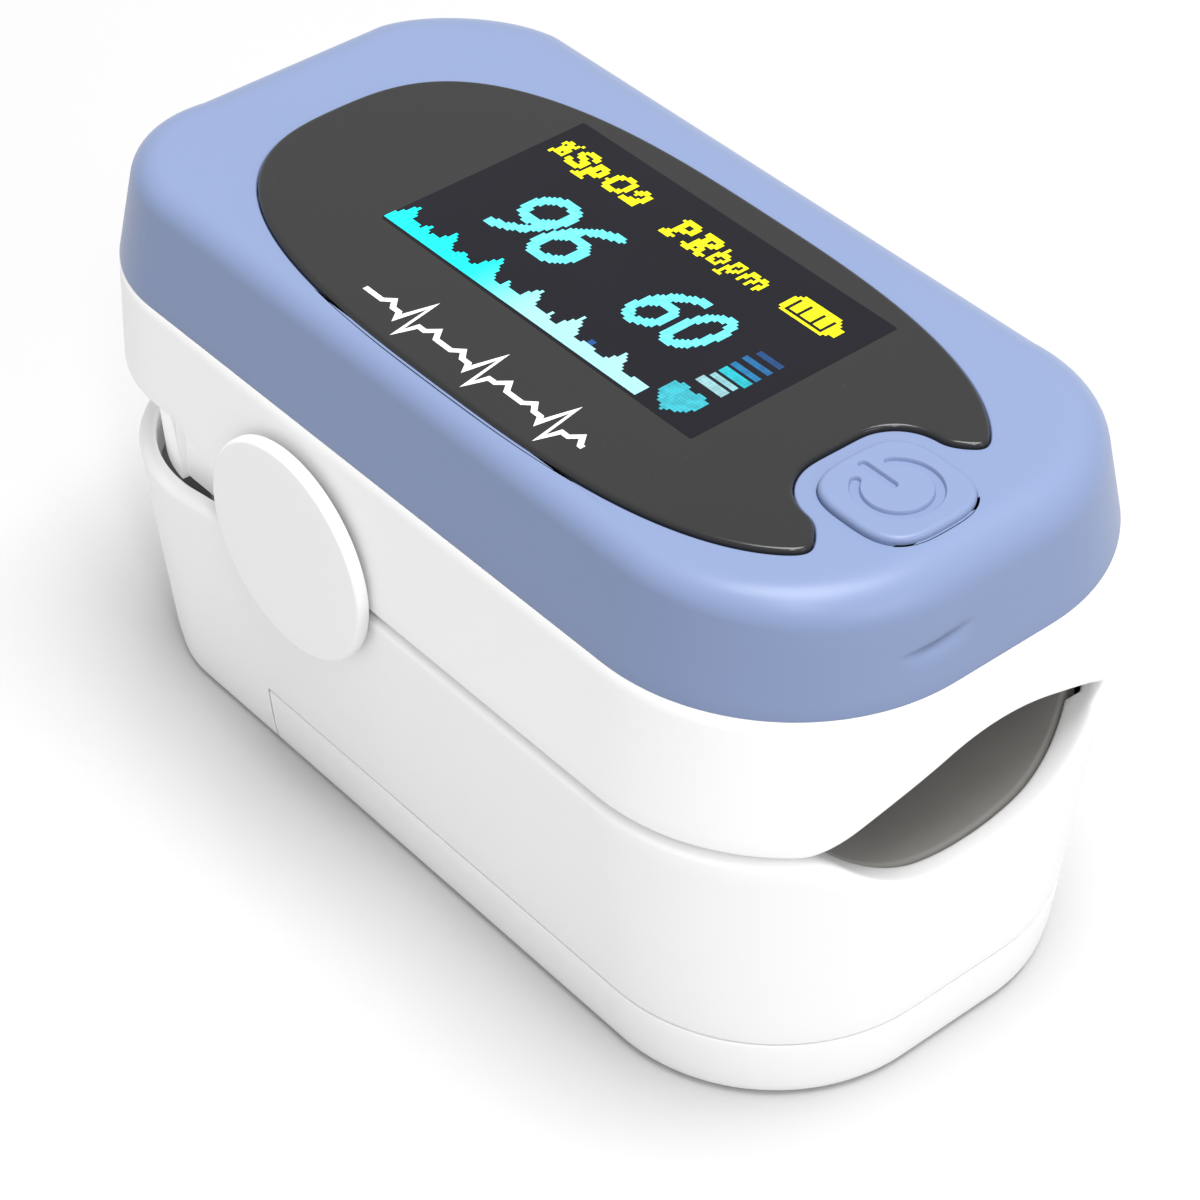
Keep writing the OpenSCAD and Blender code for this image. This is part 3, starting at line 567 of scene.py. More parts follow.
def lower_shell_column(sample):
    """Section of the lower shell at one place, from the bottom over the rim to the inside."""
    x = sample[0]
    column = []

    def add(inset, z):
        column.append((*at_inset(sample, inset), z))

    on_lid = x > LID_REAR - 0.11
    if on_lid:
        edge = LID_TOP + LID_GAP
        add(lower_inset(edge) + 1.4, edge)
        for px, pz in arc(lower_inset(edge) + 0.12, edge + 0.12, 0.12, 270, 180, 4):
            add(px, pz)
    else:
        add(DRAFT + 3, 0.0)
        for i in range(5):
            a = math.radians(90 * i / 4)
            add(DRAFT + 0.8 * (1 - math.sin(a)), 0.8 * (1 - math.cos(a)))
    start = column[-1][2]
    front = x > 5
    outer = lower_rim(*at_inset(sample, 0.2))
    ease = 0.55 if front and outer < RIM - 0.6 else 0.75
    if x < PIVOT_X:
        ease = 0.45
    top = outer - ease
    for i in range(1, 13):
        z = start + (top - start) * i / 12
        add(lower_inset(z), z)
    base = lower_inset(top)
    for i in range(1, 7):
        a = math.radians(90 * i / 6)
        inset = base + ease * (1 - math.cos(a))
        z = lower_rim(*at_inset(sample, inset)) - ease * (1 - math.sin(a))
        add(inset, z)
    lip = 2.0 if front and outer < RIM - 0.3 else 1.35
    for i in range(1, 5):
        inset = base + ease + (lip - 0.15 - base - ease) * i / 4
        add(inset, lower_rim(*at_inset(sample, inset)))
    for i in range(1, 4):
        a = math.radians(90 * i / 3)
        inset = lip - 0.15 * (1 - math.sin(a))
        z = lower_rim(*at_inset(sample, inset)) - 0.15 * (1 - math.cos(a))
        add(inset, z)
    last = column[-1][2]
    add(lip + 0.02, max(last - 2.5, 5.0))
    return column


SCREW_WELL = 1.15
shell_verts, shell_faces = loft([lower_shell_column(s) for s in PLAN])
# floor of the fixed part of the bottom, behind the sliding cover
floor_loop = [at_inset(s, DRAFT + 3) for s in PLAN if s[0] <= LID_REAR - 0.11]
screw_x = (screw_low.x + screw_high.x) / 2
head_r = (screw_high.x - screw_low.x) / 2
screw_y = screw_high.y - head_r
screw_loops = [arc(screw_x, side * screw_y, head_r + 0.15, 0, 360, 32)[:-1]
               for side in (-1, 1)]
screw_walls = [wall(loop, [0.0, 0.06, SCREW_WELL], [-0.08, 0.0, 0.0]) for loop in screw_loops]
floor_part = filled(0.0, floor_loop, [[(x, y) for x, y, _ in shape[0][0::3]]
                                      for shape in screw_walls])
piece("white_lower_shell", *joined((shell_verts, shell_faces), floor_part, *screw_walls),
      white, "lower", "white_plastic", ["lower_shell"], sharp=50)


# ---------- battery cover ----------

def lid_column(sample):
    """Section of the battery cover's side at one place, from the sole to its upper edge."""
    column = []
    for i in range(6):
        a = math.radians(90 * i / 5)
        inset = DRAFT + 0.8 * (1 - math.sin(a))
        column.append((*at_inset(sample, inset), 0.8 * (1 - math.cos(a))))
    for z in (1.6, 2.6, 3.4, LID_TOP - 0.12):
        column.append((*at_inset(sample, lower_inset(z)), z))
    for px, pz in arc(lower_inset(LID_TOP) + 0.12, LID_TOP - 0.12, 0.12, 180, 90, 3)[1:]:
        column.append((*at_inset(sample, px), pz))
    column.append((*at_inset(sample, DRAFT + 1.2), LID_TOP))
    return column


lid_samples = [s for s in PLAN if s[0] > LID_REAR]
first = lid_samples.index(min(lid_samples, key=lambda s: (s[1], s[0])))
lid_samples = lid_samples[first:] + lid_samples[:first]
lid_samples.insert(0, (LID_REAR, -HALF, 0, -1))
lid_samples.append((LID_REAR, HALF, 0, 1))
lid_columns = [lid_column(s) for s in lid_samples]
lid_shape = loft(lid_columns, closed=False)
sole = [column[0] for column in lid_columns]
grip = []
for i in range(6):
    x0 = FRONT_X - 15 + i * 1.7
    grip.append([(x0 + dx, dy) for dx, dy in
                 arc(0, -5.5, 0.42, 180, 360, 8) + arc(0, 5.5, 0.42, 0, 180, 8)])
sole_face = filled(0.0, [(x, y) for x, y, _ in sole], grip)
grip_walls = [wall(loop, [0.0, 0.1, 0.3], [0.0, 0.06, 0.1]) for loop in grip]
grip_floors = [filled(0.3, [(x, y) for x, y, _ in shape[0][2::3]]) for shape in grip_walls]
rear_end = ([(LID_REAR, -HALF + DRAFT + 0.8, 0.0), (LID_REAR, HALF - DRAFT - 0.8, 0.0),
             (LID_REAR, HALF - DRAFT - 0.8, 1.2), (LID_REAR, -HALF + DRAFT + 0.8, 1.2)],
            [(0, 1, 2, 3)])
piece("white_battery_cover", *joined(lid_shape, sole_face, *grip_walls, *grip_floors, rear_end),
      white, "lid", "white_plastic", ["battery_cover"], sharp=40)


# ---------- upper shell ----------

def shell_inset(z):
    """Lean of the upper shell's wall, from the parting up to the seam."""
    return SEAM_INSET * (z - PARTING) / (SEAM - PARTING)


def upper_shell_column(sample):
    """Section of the upper shell at one place, from the inside round its lower edge."""
    column = []

    def add(inset, z):
        column.append((*at_inset(sample, inset), z))

    ease, thick = 0.28, 1.95
    add(thick, SEAM - 0.6)
    low = upper_edge(*at_inset(sample, thick))
    add(thick, (low + SEAM) / 2)
    for i in range(4):
        a = math.radians(90 * i / 3)
        inset = thick - ease * (1 - math.cos(a))
        add(inset, upper_edge(*at_inset(sample, inset)) + ease * (1 - math.sin(a)))
    for i in range(1, 4):
        inset = thick - ease - (thick - 2 * ease) * i / 4
        add(inset, upper_edge(*at_inset(sample, inset)))
    for i in range(6):
        a = math.radians(90 * i / 5)
        inset = ease * (1 - math.sin(a))
        z = upper_edge(*at_inset(sample, inset)) + ease * (1 - math.cos(a))
        add(inset + shell_inset(z), z)
    low = column[-1][2]
    for i in range(1, 11):
        z = low + (SEAM - 0.05 - low) * i / 10
        add(shell_inset(z), z)
    add(SEAM_INSET + 0.04, SEAM)
    add(thick, SEAM)
    return column


SKIRT_FREE = WEDGE_FULL - 0.1
SKIRT_FOOT = WEDGE_FULL - 2.6
SKIRT_Z = REAR_RIM - 0.7
SKIRT_INNER = 2.85


def skirt_foot(x):
    """Height of the lower edge of the skirt, whose front end is a quarter oval."""
    if x < SKIRT_FOOT:
        return SKIRT_Z
    t = min(1.0, (x - SKIRT_FREE) / (SKIRT_FOOT - SKIRT_FREE))
    return NOTCH_Z - 3.9 + 3.9 * math.sqrt(max(0.0, 1 - t * t))


SKIRT_SECTION = [(SKIRT_Z, 1.85), (REAR_RIM + 2.9, 1.65), (NOTCH_Z - 0.9, 1.25),
                 (NOTCH_Z, 0.42)]


def skirt_column(sample):
    """Section of the skirt that dips into the lower shell at the squeezed end."""
    foot = skirt_foot(sample[0])
    inner = at_inset(sample, SKIRT_INNER)
    column = [(*inner, NOTCH_Z + 0.3), (*inner, foot)]
    for i in range(15):
        z = foot + (NOTCH_Z + 0.1 - foot) * i / 14
        inset = between(z, SKIRT_SECTION)
        column.append((*at_inset(sample, inset), z))
    return column


skirt_samples = [s for s in PLAN if s[0] < SKIRT_FREE]
turn = max(range(len(skirt_samples)), key=lambda i: (skirt_samples[i][1], skirt_samples[i][0]))
skirt_samples = skirt_samples[turn:] + skirt_samples[:turn]
skirt_shape = loft([skirt_column(s) for s in skirt_samples], closed=False)
PLATE_FRONT = WEDGE_START + 0.5


def notch_plate(side):
    """Plate behind the notch, on one side, that dips into the lower shell."""
    columns = []
    for s in PLAN:
        if s[1] * side > 5 and SKIRT_FOOT - 3.5 < s[0] < PLATE_FRONT:
            columns.append([(*at_inset(s, inset), z) for z, inset in
                            [(NOTCH_Z + 0.9, SKIRT_INNER), (SKIRT_Z, SKIRT_INNER), (SKIRT_Z, 2.35),
                             (REAR_RIM - 0.5, 2.2), (REAR_RIM + 2, 2.2), (NOTCH_Z - 0.6, 2.15),
                             (NOTCH_Z - 0.1, 1.9), (NOTCH_Z + 0.9, 1.88)]])
    columns.sort(key=lambda column: column[0][0])
    return loft(columns, closed=False)


piece("white_upper_shell",
      *joined(loft([upper_shell_column(s) for s in PLAN]), skirt_shape, notch_plate(-1),
              notch_plate(1)),
      white, "upper", "white_plastic", ["upper_shell"], sharp=50)


# ---------- black lens ----------

LENS_X, LENS_Y = 1.87, -1.62
LENS_A, LENS_B, LENS_POWER = 22.8, 11.1, 2.82
POCKET = 4.4


def oval(cx, cy, a, b, power, steps):
    """Squared oval, anticlockwise."""
    found = []
    for i in range(steps):
        angle = TAU * i / steps
        c, s = math.cos(angle), math.sin(angle)
        r = (abs(c / a) ** power + abs(s / b) ** power) ** (-1 / power)
        found.append((cx + r * c, cy + r * s))
    return found


def pocket_half(x):
    """Half width of the hollow for the button, which flares towards the horns."""
    dx = x - BUTTON_X
    if dx < -1.5:
        bend = 3.0
        t = dx + POCKET - bend
        if t >= 0:
            return POCKET
        return POCKET - bend + math.sqrt(max(0.0, bend * bend - t * t))
    return POCKET + 0.5 * max(0.0, dx + 1.5) ** 1.7


def lens_outline():
    rim = oval(LENS_X, LENS_Y, LENS_A, LENS_B, LENS_POWER, 900)
    kept = [p for p in rim if not (p[0] > BUTTON_X - POCKET and
                                   abs(p[1] - BUTTON_Y) < pocket_half(p[0]))]
    start = min(range(len(kept)), key=lambda i: (kept[i][1] - BUTTON_Y if
                                                 kept[i][1] > BUTTON_Y and kept[i][0] > 15
                                                 else 99))
    kept = kept[start:] + kept[:start]
    end_x, start_x = kept[-1][0], kept[0][0]
    back = BUTTON_X - POCKET
    near = [(end_x + (back - end_x) * i / 80, 0) for i in range(1, 81)]
    far = [(back + (start_x - back) * i / 80, 0) for i in range(1, 80)]
    hollow = [(x, BUTTON_Y - pocket_half(x)) for x, _ in near]
    hollow += [(x, BUTTON_Y + pocket_half(x)) for x, _ in far]
    return kept + hollow


LENS = eased(lens_outline(), 0.42)
LENS_TOP = lens_high.z


def grown(outline, amount):
    """Outline moved outwards by amount."""
    count = len(outline)
    found = []
    for i, (x, y) in enumerate(outline):
        before, after = outline[i - 1], outline[(i + 1) % count]
        dx, dy = after[0] - before[0], after[1] - before[1]
        size = math.hypot(dx, dy) or 1
        found.append((x + dy / size * amount, y - dx / size * amount))
    return found


BEVEL = 0.22
lens_wall = wall(LENS, [TOP - 0.7, LENS_TOP - BEVEL] +
                 [LENS_TOP - BEVEL * (1 - math.sin(math.radians(a))) for a in (22, 45, 67, 90)] +
                 [LENS_TOP],
                 [0.0, 0.0] + [BEVEL * (1 - math.cos(math.radians(a))) for a in (22, 45, 67, 90)] +
                 [BEVEL + 0.08])
lens_rows = 7
lens_ring = [(x, y) for x, y, _ in lens_wall[0][lens_rows - 1::lens_rows]]
lens_face = filled(LENS_TOP, lens_ring)
piece("black_display_lens", *joined(lens_wall, lens_face), lens_black, "upper", "dark_lens",
      ["display_lens"], sharp=60)


# ---------- blue cover ----------

BUTTON_HALF = 3.35
BUTTON = oval(BUTTON_X, BUTTON_Y, BUTTON_HALF, BUTTON_HALF, 3.1, 160)
BUTTON_HOLE = grown(BUTTON, 0.035)
LENS_SEAT = grown(LENS, 0.09)
MARK_Y, MARK_HALF, MARK_Z = -4.1, 2.3, 30.35


def front_mark(sample, z):
    """Depth of the shallow moulded mark in the front wall."""
    if sample[2] < 0.7:
        return 0.0
    along = (sample[1] - MARK_Y) / MARK_HALF
    if abs(along) > 1:
        return 0.0
    depth = 0.3 * math.cos(along * math.pi / 2) ** 1.2
    lift = z - MARK_Z - along * 0.12
    if lift > 0:
        return depth * math.exp(-(lift / 0.1) ** 2)
    return depth * math.exp(-(lift / 0.45) ** 2)


# rounding of the top edge: less of it on the near side, more at the far rear
EDGE_R, NEAR_LESS, FAR_REAR_MORE = 2.5, 0.95, 2.6


def cover_column(sample):
    """Section of the blue cover at one place, from the seam over the rounding to the top."""
    column = []

    def add(inset, z):
        column.append((*at_inset(sample, inset), z))

    add(1.9, SEAM + 0.02)
    add(SEAM_INSET + 0.1, SEAM + 0.02)
    add(SEAM_INSET + 0.03, SEAM + 0.05)
    lean = (SHOULDER_INSET - SEAM_INSET) / (SHOULDER - SEAM)
    heights = [SEAM + 0.15, SEAM + 0.8, SEAM + 1.5, 29.5, 29.8, 30.0, 30.1, 30.2, 30.28, 30.35,
               30.42, 30.5, 30.6, 30.8, 31.1]
    for z in heights:
        add(SEAM_INSET + lean * (z - SEAM) + front_mark(sample, z), z)
    tilt = math.atan(lean)
    far_rear = max(0.0, 0.75 * sample[3] - 0.66 * sample[2])
    radius = EDGE_R - NEAR_LESS * max(0.0, -sample[3]) ** 2 + FAR_REAR_MORE * far_rear ** 2
    low = TOP - radius * (1 - math.sin(tilt))
    cx = SEAM_INSET + lean * (low - SEAM) + radius * math.cos(tilt)
    cz = low - radius * math.sin(tilt)
    for i in range(15):
        a = tilt + (math.pi / 2 - tilt) * i / 14
        add(cx - radius * math.cos(a), cz + radius * math.sin(a))
    add(cx + 0.02, TOP)
    add(cx + 0.12 + 0.4 * (1 + min(0.0, sample[3])), TOP)
    return column


cover_columns = [cover_column(s) for s in PLAN]
top_ring = [(c[-1][0], c[-1][1]) for c in cover_columns]
SEAT_DEPTH, HOLE_DEPTH, BUTTON_DEPTH = 0.95, 1.7, 1.6
seat_wall = wall(LENS_SEAT, [TOP, TOP, TOP - 0.05, TOP - SEAT_DEPTH], [-0.09, -0.05, 0.0, 0.0])
seat_ring = [(x, y) for x, y, _ in seat_wall[0][0::4]]
hole_wall = wall(BUTTON_HOLE, [TOP, TOP, TOP - 0.02, TOP - 0.06, TOP - HOLE_DEPTH],
                 [-0.1, -0.06, -0.02, 0.0, 0.0])
hole_ring = [(x, y) for x, y, _ in hole_wall[0][0::5]]
top_face = filled(TOP, top_ring, [seat_ring, hole_ring])
seat_floor = filled(TOP - SEAT_DEPTH, LENS_SEAT)
piece("blue_top_cover", *joined(loft(cover_columns), seat_wall, hole_wall, top_face, seat_floor),
      blue, "upper", "blue_plastic", ["top_cover"], sharp=50)


# ---------- power button ----------

BUTTON_TOP = button_high.z - 0.3
CROWN = 0.3


def slot_outline(middle, half):
    """Round-ended slot along a middle line."""
    left, right = [], []
    for i, (x, y) in enumerate(middle):
        x0, y0 = middle[max(0, i - 1)]
        x1, y1 = middle[min(len(middle) - 1, i + 1)]
        size = math.hypot(x1 - x0, y1 - y0)
        nx, ny = -(y1 - y0) / size, (x1 - x0) / size
        left.append((x + nx * half, y + ny * half))
        right.append((x - nx * half, y - ny * half))

    def end(point, side):
        a = math.degrees(math.atan2(side[1] - point[1], side[0] - point[0]))
        return arc(point[0], point[1], half, a, a + 180, 8)[1:-1]

    return right + end(middle[-1], right[-1]) + left[::-1] + end(middle[0], left[0])


RING_R, RING_GAP, GROOVE_HALF = 2.05, 33, 0.26
ring_slot = slot_outline(
    arc(BUTTON_X, BUTTON_Y, RING_R, 180 + RING_GAP, 540 - RING_GAP, 60), GROOVE_HALF)
bar_slot = slot_outline([(BUTTON_X - 2.35 + i * 0.2, BUTTON_Y) for i in range(11)], GROOVE_HALF)
crown_angles = [0, 15, 30, 45, 60, 75, 90]
crown_heights = [BUTTON_TOP - CROWN * (1 - math.sin(math.radians(a))) for a in crown_angles]
crown_insets = [CROWN * (1 - math.cos(math.radians(a))) for a in crown_angles]
button_wall = wall(BUTTON, [TOP - BUTTON_DEPTH, *crown_heights, BUTTON_TOP],
                   [0.0, *crown_insets, CROWN + 0.06])
button_rows = len(crown_angles) + 2
crown_ring = [(x, y) for x, y, _ in button_wall[0][button_rows - 1::button_rows]]
SUNK = 0.2
marks, mouths = [], []
for loop in (ring_slot, bar_slot):
    cut = wall(loop, [BUTTON_TOP, BUTTON_TOP - 0.05, BUTTON_TOP - SUNK], [-0.04, 0.0, 0.04])
    mouths.append([(x, y) for x, y, _ in cut[0][0::3]])
    marks += [cut, filled(BUTTON_TOP - SUNK, [(x, y) for x, y, _ in cut[0][2::3]])]
button_face = filled(BUTTON_TOP, crown_ring, mouths)
button_sole = filled(TOP - BUTTON_DEPTH, BUTTON)
piece("blue_power_button", *joined(button_wall, button_face, button_sole, *marks), blue,
      "button", "blue_plastic", ["power_button"], sharp=50)


# ---------- pivot caps ----------

CAP_R = (near_cap_high.x - near_cap_low.x) / 2


def cap_shape(side, inner, outer):
    """Turned disc with an eased rim and a faintly crowned face."""
    section = [(CAP_R - 0.5, inner), (CAP_R - 0.05, inner), (CAP_R, inner + 0.05)]
    ease = 0.26
    for i in range(9):
        a = math.radians(90 * i / 8)
        section.append((CAP_R - ease * (1 - math.cos(a)), outer - 0.06 - ease * (1 - math.sin(a))))
    for i in range(1, 9):
        r = (CAP_R - ease) * (1 - i / 8)
        section.append((max(r, 0.001), outer - 0.06 * (r / (CAP_R - ease)) ** 2))
    columns = []
    for i in range(120):
        a = TAU * i / 120
        columns.append([(PIVOT_X + r * math.cos(a), side * y, PIVOT_Z + r * math.sin(a))
                        for r, y in section])
    return loft(columns)


cap_inner = HALF + 0.2
cap_outer = -near_cap_low.y
for side, name, node in ((-1, "white_pivot_cap_near", "pivot_cap_near"),
                         (1, "white_pivot_cap_far", "pivot_cap_far")):
    piece(name, *cap_shape(side, cap_inner, cap_outer), white_cap, "lower", "white_plastic",
          [node], sharp=60)


# ---------- finger pads ----------

def plan_front(y, inset):
    """Forward reach of the plan, brought in by inset, at a distance y from the middle."""
    half = HALF - FRONT_R
    beyond = abs(y) - half
    if beyond <= 0:
        return FRONT_X - inset
    radius = FRONT_R - inset
    return FRONT_X - FRONT_R + math.sqrt(max(0.0, radius ** 2 - beyond ** 2))


def pad_shape(rear, radius, middle, up, half_angle, inset, thickness=1.0):
    """Curved rubber sheet with a rolled front edge that follows the shell."""
    columns = []
    steps = 64
    ease = 0.35
    for i in range(steps + 1):
        t = math.radians(half_angle * (2 * i / steps - 1))
        column = []

        def add(x, depth):
            r = radius + depth
            column.append((x, r * math.sin(t), middle + up * r * math.cos(t)))

        y = radius * math.sin(t)
        front = plan_front(y, inset)
        add(rear, thickness)
        add(rear, 0.3)
        add(rear + 0.3, 0.0)
        for k in range(1, 21):
            add(rear + 0.3 + (front - ease - rear - 0.3) * k / 20, 0.0)
        for a in (30, 60, 90):
            add(front - ease * (1 - math.sin(math.radians(a))),
                ease * (1 - math.cos(math.radians(a))))
        add(front, thickness)
        add(rear, thickness)
        columns.append(column)
    return loft(columns, closed=False)


trough_half = math.degrees(math.asin((CHANNEL_HALF - 0.15) / TROUGH_R))
arch_half = math.degrees(math.asin((CHANNEL_HALF - 0.15) / ARCH_R))
# both pads stop short of the wedge, so that they clear each other when the clip is squeezed
PAD_RELIEF = 1.5
piece("silicone_lower_pad",
      *pad_shape(lower_pad_low.x + PAD_RELIEF, TROUGH_R, TROUGH_BOTTOM + TROUGH_R, -1,
                 trough_half, 2.12),
      rubber, "lower", "grey_silicone", ["lower_pad"], sharp=60)
piece("silicone_upper_pad",
      *pad_shape(upper_pad_low.x + PAD_RELIEF, ARCH_R, PARTING + ARCH_RISE - ARCH_R, 1,
                 arch_half, 2.1),
      rubber, "upper", "grey_silicone", ["upper_pad"], sharp=60)


# ---------- display picture ----------

WIN_X0, WIN_X1, WIN_Y0, WIN_Y1 = -11.0, 13.45, -6.2, 7.62
WIN_R = 0.15
window_round = []
for cx, cy, start in ((WIN_X1 - WIN_R, WIN_Y0 + WIN_R, -90), (WIN_X1 - WIN_R, WIN_Y1 - WIN_R, 0),
                      (WIN_X0 + WIN_R, WIN_Y1 - WIN_R, 90), (WIN_X0 + WIN_R, WIN_Y0 + WIN_R, 180)):
    window_round += arc(cx, cy, WIN_R, start, start + 90, 5)
PRINT = 0.012
glass_z = LENS_TOP + PRINT
window_wall = wall(window_round, [LENS_TOP - 0.02, glass_z], [0.0, 0.0])
piece("display_window", *joined(window_wall, filled(glass_z, window_round)), window_black, "upper",
      "display_glass", weighted=False)

PITCH = 0.193
DOT = 0.187
DOT_Z = glass_z + PRINT
COLUMNS, ROWS = 128, 72


def tile(i, j):
    """Middle of one tile of the display."""
    return WIN_X0 + (i + 0.5) * PITCH, WIN_Y0 + (j + 0.5) * PITCH


def tiles_where(wanted):
    """Tiles whose middle passes a test."""
    return {(i, j) for i in range(COLUMNS) for j in range(ROWS) if wanted(*tile(i, j))}


def dots(name, wanted, material):
    """One small tile for each lit dot of the display."""
    verts, faces = [], []
    h = DOT / 2
    for i, j in sorted(wanted):
        x, y = tile(i, j)
        base = len(verts)
        verts += [(x - h, y - h, DOT_Z), (x + h, y - h, DOT_Z), (x + h, y + h, DOT_Z),
                  (x - h, y + h, DOT_Z)]
        faces.append((base, base + 1, base + 2, base + 3))
    piece(name, verts, faces, material, "upper", "display_glass", weighted=False)


def near_line(px, py, line):
    """Distance from a point to a chain of points."""
    best = 99.0
    for (x0, y0), (x1, y1) in zip(line, line[1:]):
        dx, dy = x1 - x0, y1 - y0
        span = dx * dx + dy * dy
        t = 0 if span == 0 else max(0, min(1, ((px - x0) * dx + (py - y0) * dy) / span))
        best = min(best, math.hypot(px - x0 - t * dx, py - y0 - t * dy))
    return best


# Strokes of each sign in a box one wide and one high
SIGNS = {
    "9": [ring(0.52, 0.68, 0.38, 0.27),
          [(0.9, 0.68)] + ring(0.1, 0.62, 0.8, 0.6, 0, -78, 14)],
    "6": [ring(0.46, 0.30, 0.38, 0.27),
          [(0.08, 0.30)] + ring(0.88, 0.36, 0.8, 0.6, 180, 100, 14)],
    "0": [ring(0.5, 0.5, 0.36, 0.44)],
    "%": [ring(0.24, 0.72, 0.17, 0.2), ring(0.74, 0.26, 0.17, 0.2), [(0.2, 0.0), (0.8, 1.0)]],
    "S": [ring(0.5, 0.74, 0.34, 0.24, 20, 250, 14) + ring(0.5, 0.26, 0.34, 0.26, 80, -160, 16)],
    "p": [[(0.2, -0.28), (0.2, 0.72)], ring(0.48, 0.4, 0.3, 0.3), [(0.0, -0.28), (0.42, -0.28)]],
    "O": [ring(0.5, 0.5, 0.42, 0.46)],
    "2": [ring(0.5, 0.5, 0.34, 0.3, 160, -30, 12) + [(0.12, 0.0), (0.86, 0.0)]],
    "P": [[(0.25, 0.0), (0.25, 1.0)], [(0.05, 1.0), (0.55, 1.0)], [(0.05, 0.0), (0.5, 0.0)],
          [(0.25, 1.0)] + ring(0.5, 0.74, 0.36, 0.26, 90, -90, 12) + [(0.25, 0.48)]],
    "R": [[(0.25, 0.0), (0.25, 1.0)], [(0.05, 1.0), (0.55, 1.0)], [(0.05, 0.0), (0.42, 0.0)],
          [(0.25, 1.0)] + ring(0.5, 0.76, 0.34, 0.24, 90, -90, 12) + [(0.25, 0.52)],
          [(0.45, 0.5), (0.82, 0.0), (1.0, 0.0)]],
    "b": [[(0.15, 0.0), (0.15, 1.0)], ring(0.48, 0.32, 0.32, 0.32)],
    "m": [[(0.08, 0.0), (0.08, 0.62)], [(0.08, 0.5), (0.3, 0.64), (0.5, 0.5), (0.5, 0.0)],
          [(0.5, 0.5), (0.72, 0.64), (0.94, 0.5), (0.94, 0.0)]],
}


def sign(mark, x, y, width, height, half, lean=0.22):
    """Tiles covered by one sign drawn with strokes of a given half width."""
    lines = [[(x + u * width + v * height * lean, y + v * height) for u, v in line]
             for line in SIGNS[mark]]

    def covered(px, py):
        close = x - 1.2 < px < x + width + 1.8 and y - 1.2 < py < y + height + 0.6
        return close and any(near_line(px, py, line) < half for line in lines)

    return tiles_where(covered)


big = sign("9", -7.9, -2.2, 3.1, 4.4, 0.34) | sign("6", -4.6, -2.2, 3.1, 4.4, 0.34) | \
    sign("6", 3.0, -2.1, 2.5, 3.9, 0.3) | sign("0", 5.5, -2.1, 2.5, 3.9, 0.3)
dots("lit_readings", big, lit("lit_pale_cyan", (0.16, 0.80, 0.90), 1.6))


def battery_sign(px, py):
    """Outline of a cell with three bars in it."""
    x, y = px - 8.2, py - 4.15
    cut = max(0.0, 0.45 - min(x, 3.3 - x)) + max(0.0, 0.45 - min(y, 1.75 - y))
    body = 0 <= x <= 3.3 and 0 <= y <= 1.75 and cut < 0.6
    gap = 0.28 < x < 2.95 and 0.3 < y < 1.45
    bar = any(0.42 + k * 0.86 < x < 1.14 + k * 0.86 for k in range(3)) and 0.42 < y < 1.33
    nub = 3.3 < x < 3.8 and 0.5 < y < 1.25
    return (body and not gap) or bar or nub


LABEL_HEIGHT = 1.45
labels = tiles_where(battery_sign)
for mark, x, y, width, half in (
        ("%", -10.35, 4.55, 1.0, 0.12), ("S", -9.1, 4.55, 1.3, 0.2), ("p", -7.6, 4.55, 1.25, 0.19),
        ("O", -6.15, 4.55, 1.5, 0.2), ("2", -4.4, 4.55, 1.15, 0.19), ("P", -0.7, 4.3, 1.3, 0.19),
        ("R", 0.9, 4.3, 1.4, 0.19), ("b", 2.6, 4.3, 1.0, 0.13), ("p", 3.8, 4.3, 1.0, 0.13),
        ("m", 5.0, 4.3, 1.4, 0.13)):
    labels |= sign(mark, x, y, width, LABEL_HEIGHT, half)
dots("lit_labels", labels, lit("lit_yellow", (1.0, 0.95, 0.0), 1.7))

# pulse trace, filled down to the near edge
PEAKS = [(-10.4, 1.9), (-8.7, 1.35), (-7.2, 1.9), (-5.6, 1.2), (-4.0, 2.3), (-2.2, 1.3),
         (-0.6, 2.1), (1.2, 1.3), (2.6, 2.2), (4.4, 1.4), (6.3, 1.9), (8.0, 0.8)]
trace, echo = set(), set()
for i in range(104):
    px, _ = tile(i, 0)
    height = 0.75 + 0.15 * math.sin(px * 3.1)
    for cx, tall in PEAKS:
        off = px - cx
        height = max(height, tall - abs(off) * (2.6 if off < 0 else 1.5))
    for j in range(1, ROWS):
        level = (j + 0.5) * PITCH - 0.3
        if level < height:
            (echo if 3.4 < px < 5.4 and level > 0.9 else trace).add((i, j))
dots("lit_trace", trace, lit("lit_cyan", (0.0, 1.0, 1.0), 1.9,
                             far=(-4.5, 1.0, (0.3, 0.62, 0.66))))


def in_heart(px, py):
    u, v = (px - 10.7) / 1.15, py + 4.75
    return (u * u + v * v - 1) ** 3 - u * u * v ** 3 < 0


dots("lit_heart", tiles_where(in_heart), lit("lit_teal", (0.05, 0.6, 0.72), 1.2))
# signal bars from the near one to the far one
BAR_HEIGHT = 0.42
strength = [(-2.85, (0.45, 0.85, 0.9)), (-2.2, (0.4, 0.85, 0.9)), (-1.5, (0.02, 0.72, 0.85)),
            (-0.75, (0.01, 0.28, 0.62)), (-0.05, (0.01, 0.2, 0.52)), (0.7, (0.01, 0.09, 0.3))]
for index, (y, colour) in enumerate(strength):
    bar = tiles_where(lambda px, py: 10.1 < px - 0.05 * index < 12.0 and y < py < y + BAR_HEIGHT)
    dots("lit_bar_%d" % index, bar, lit("lit_bar_colour_%d" % index, colour, 1.0))
dots("lit_trace_echo", echo, lit("lit_deep_blue", (0.01, 0.12, 0.42), 1.0))


# ---------- printed pulse line on the lens ----------

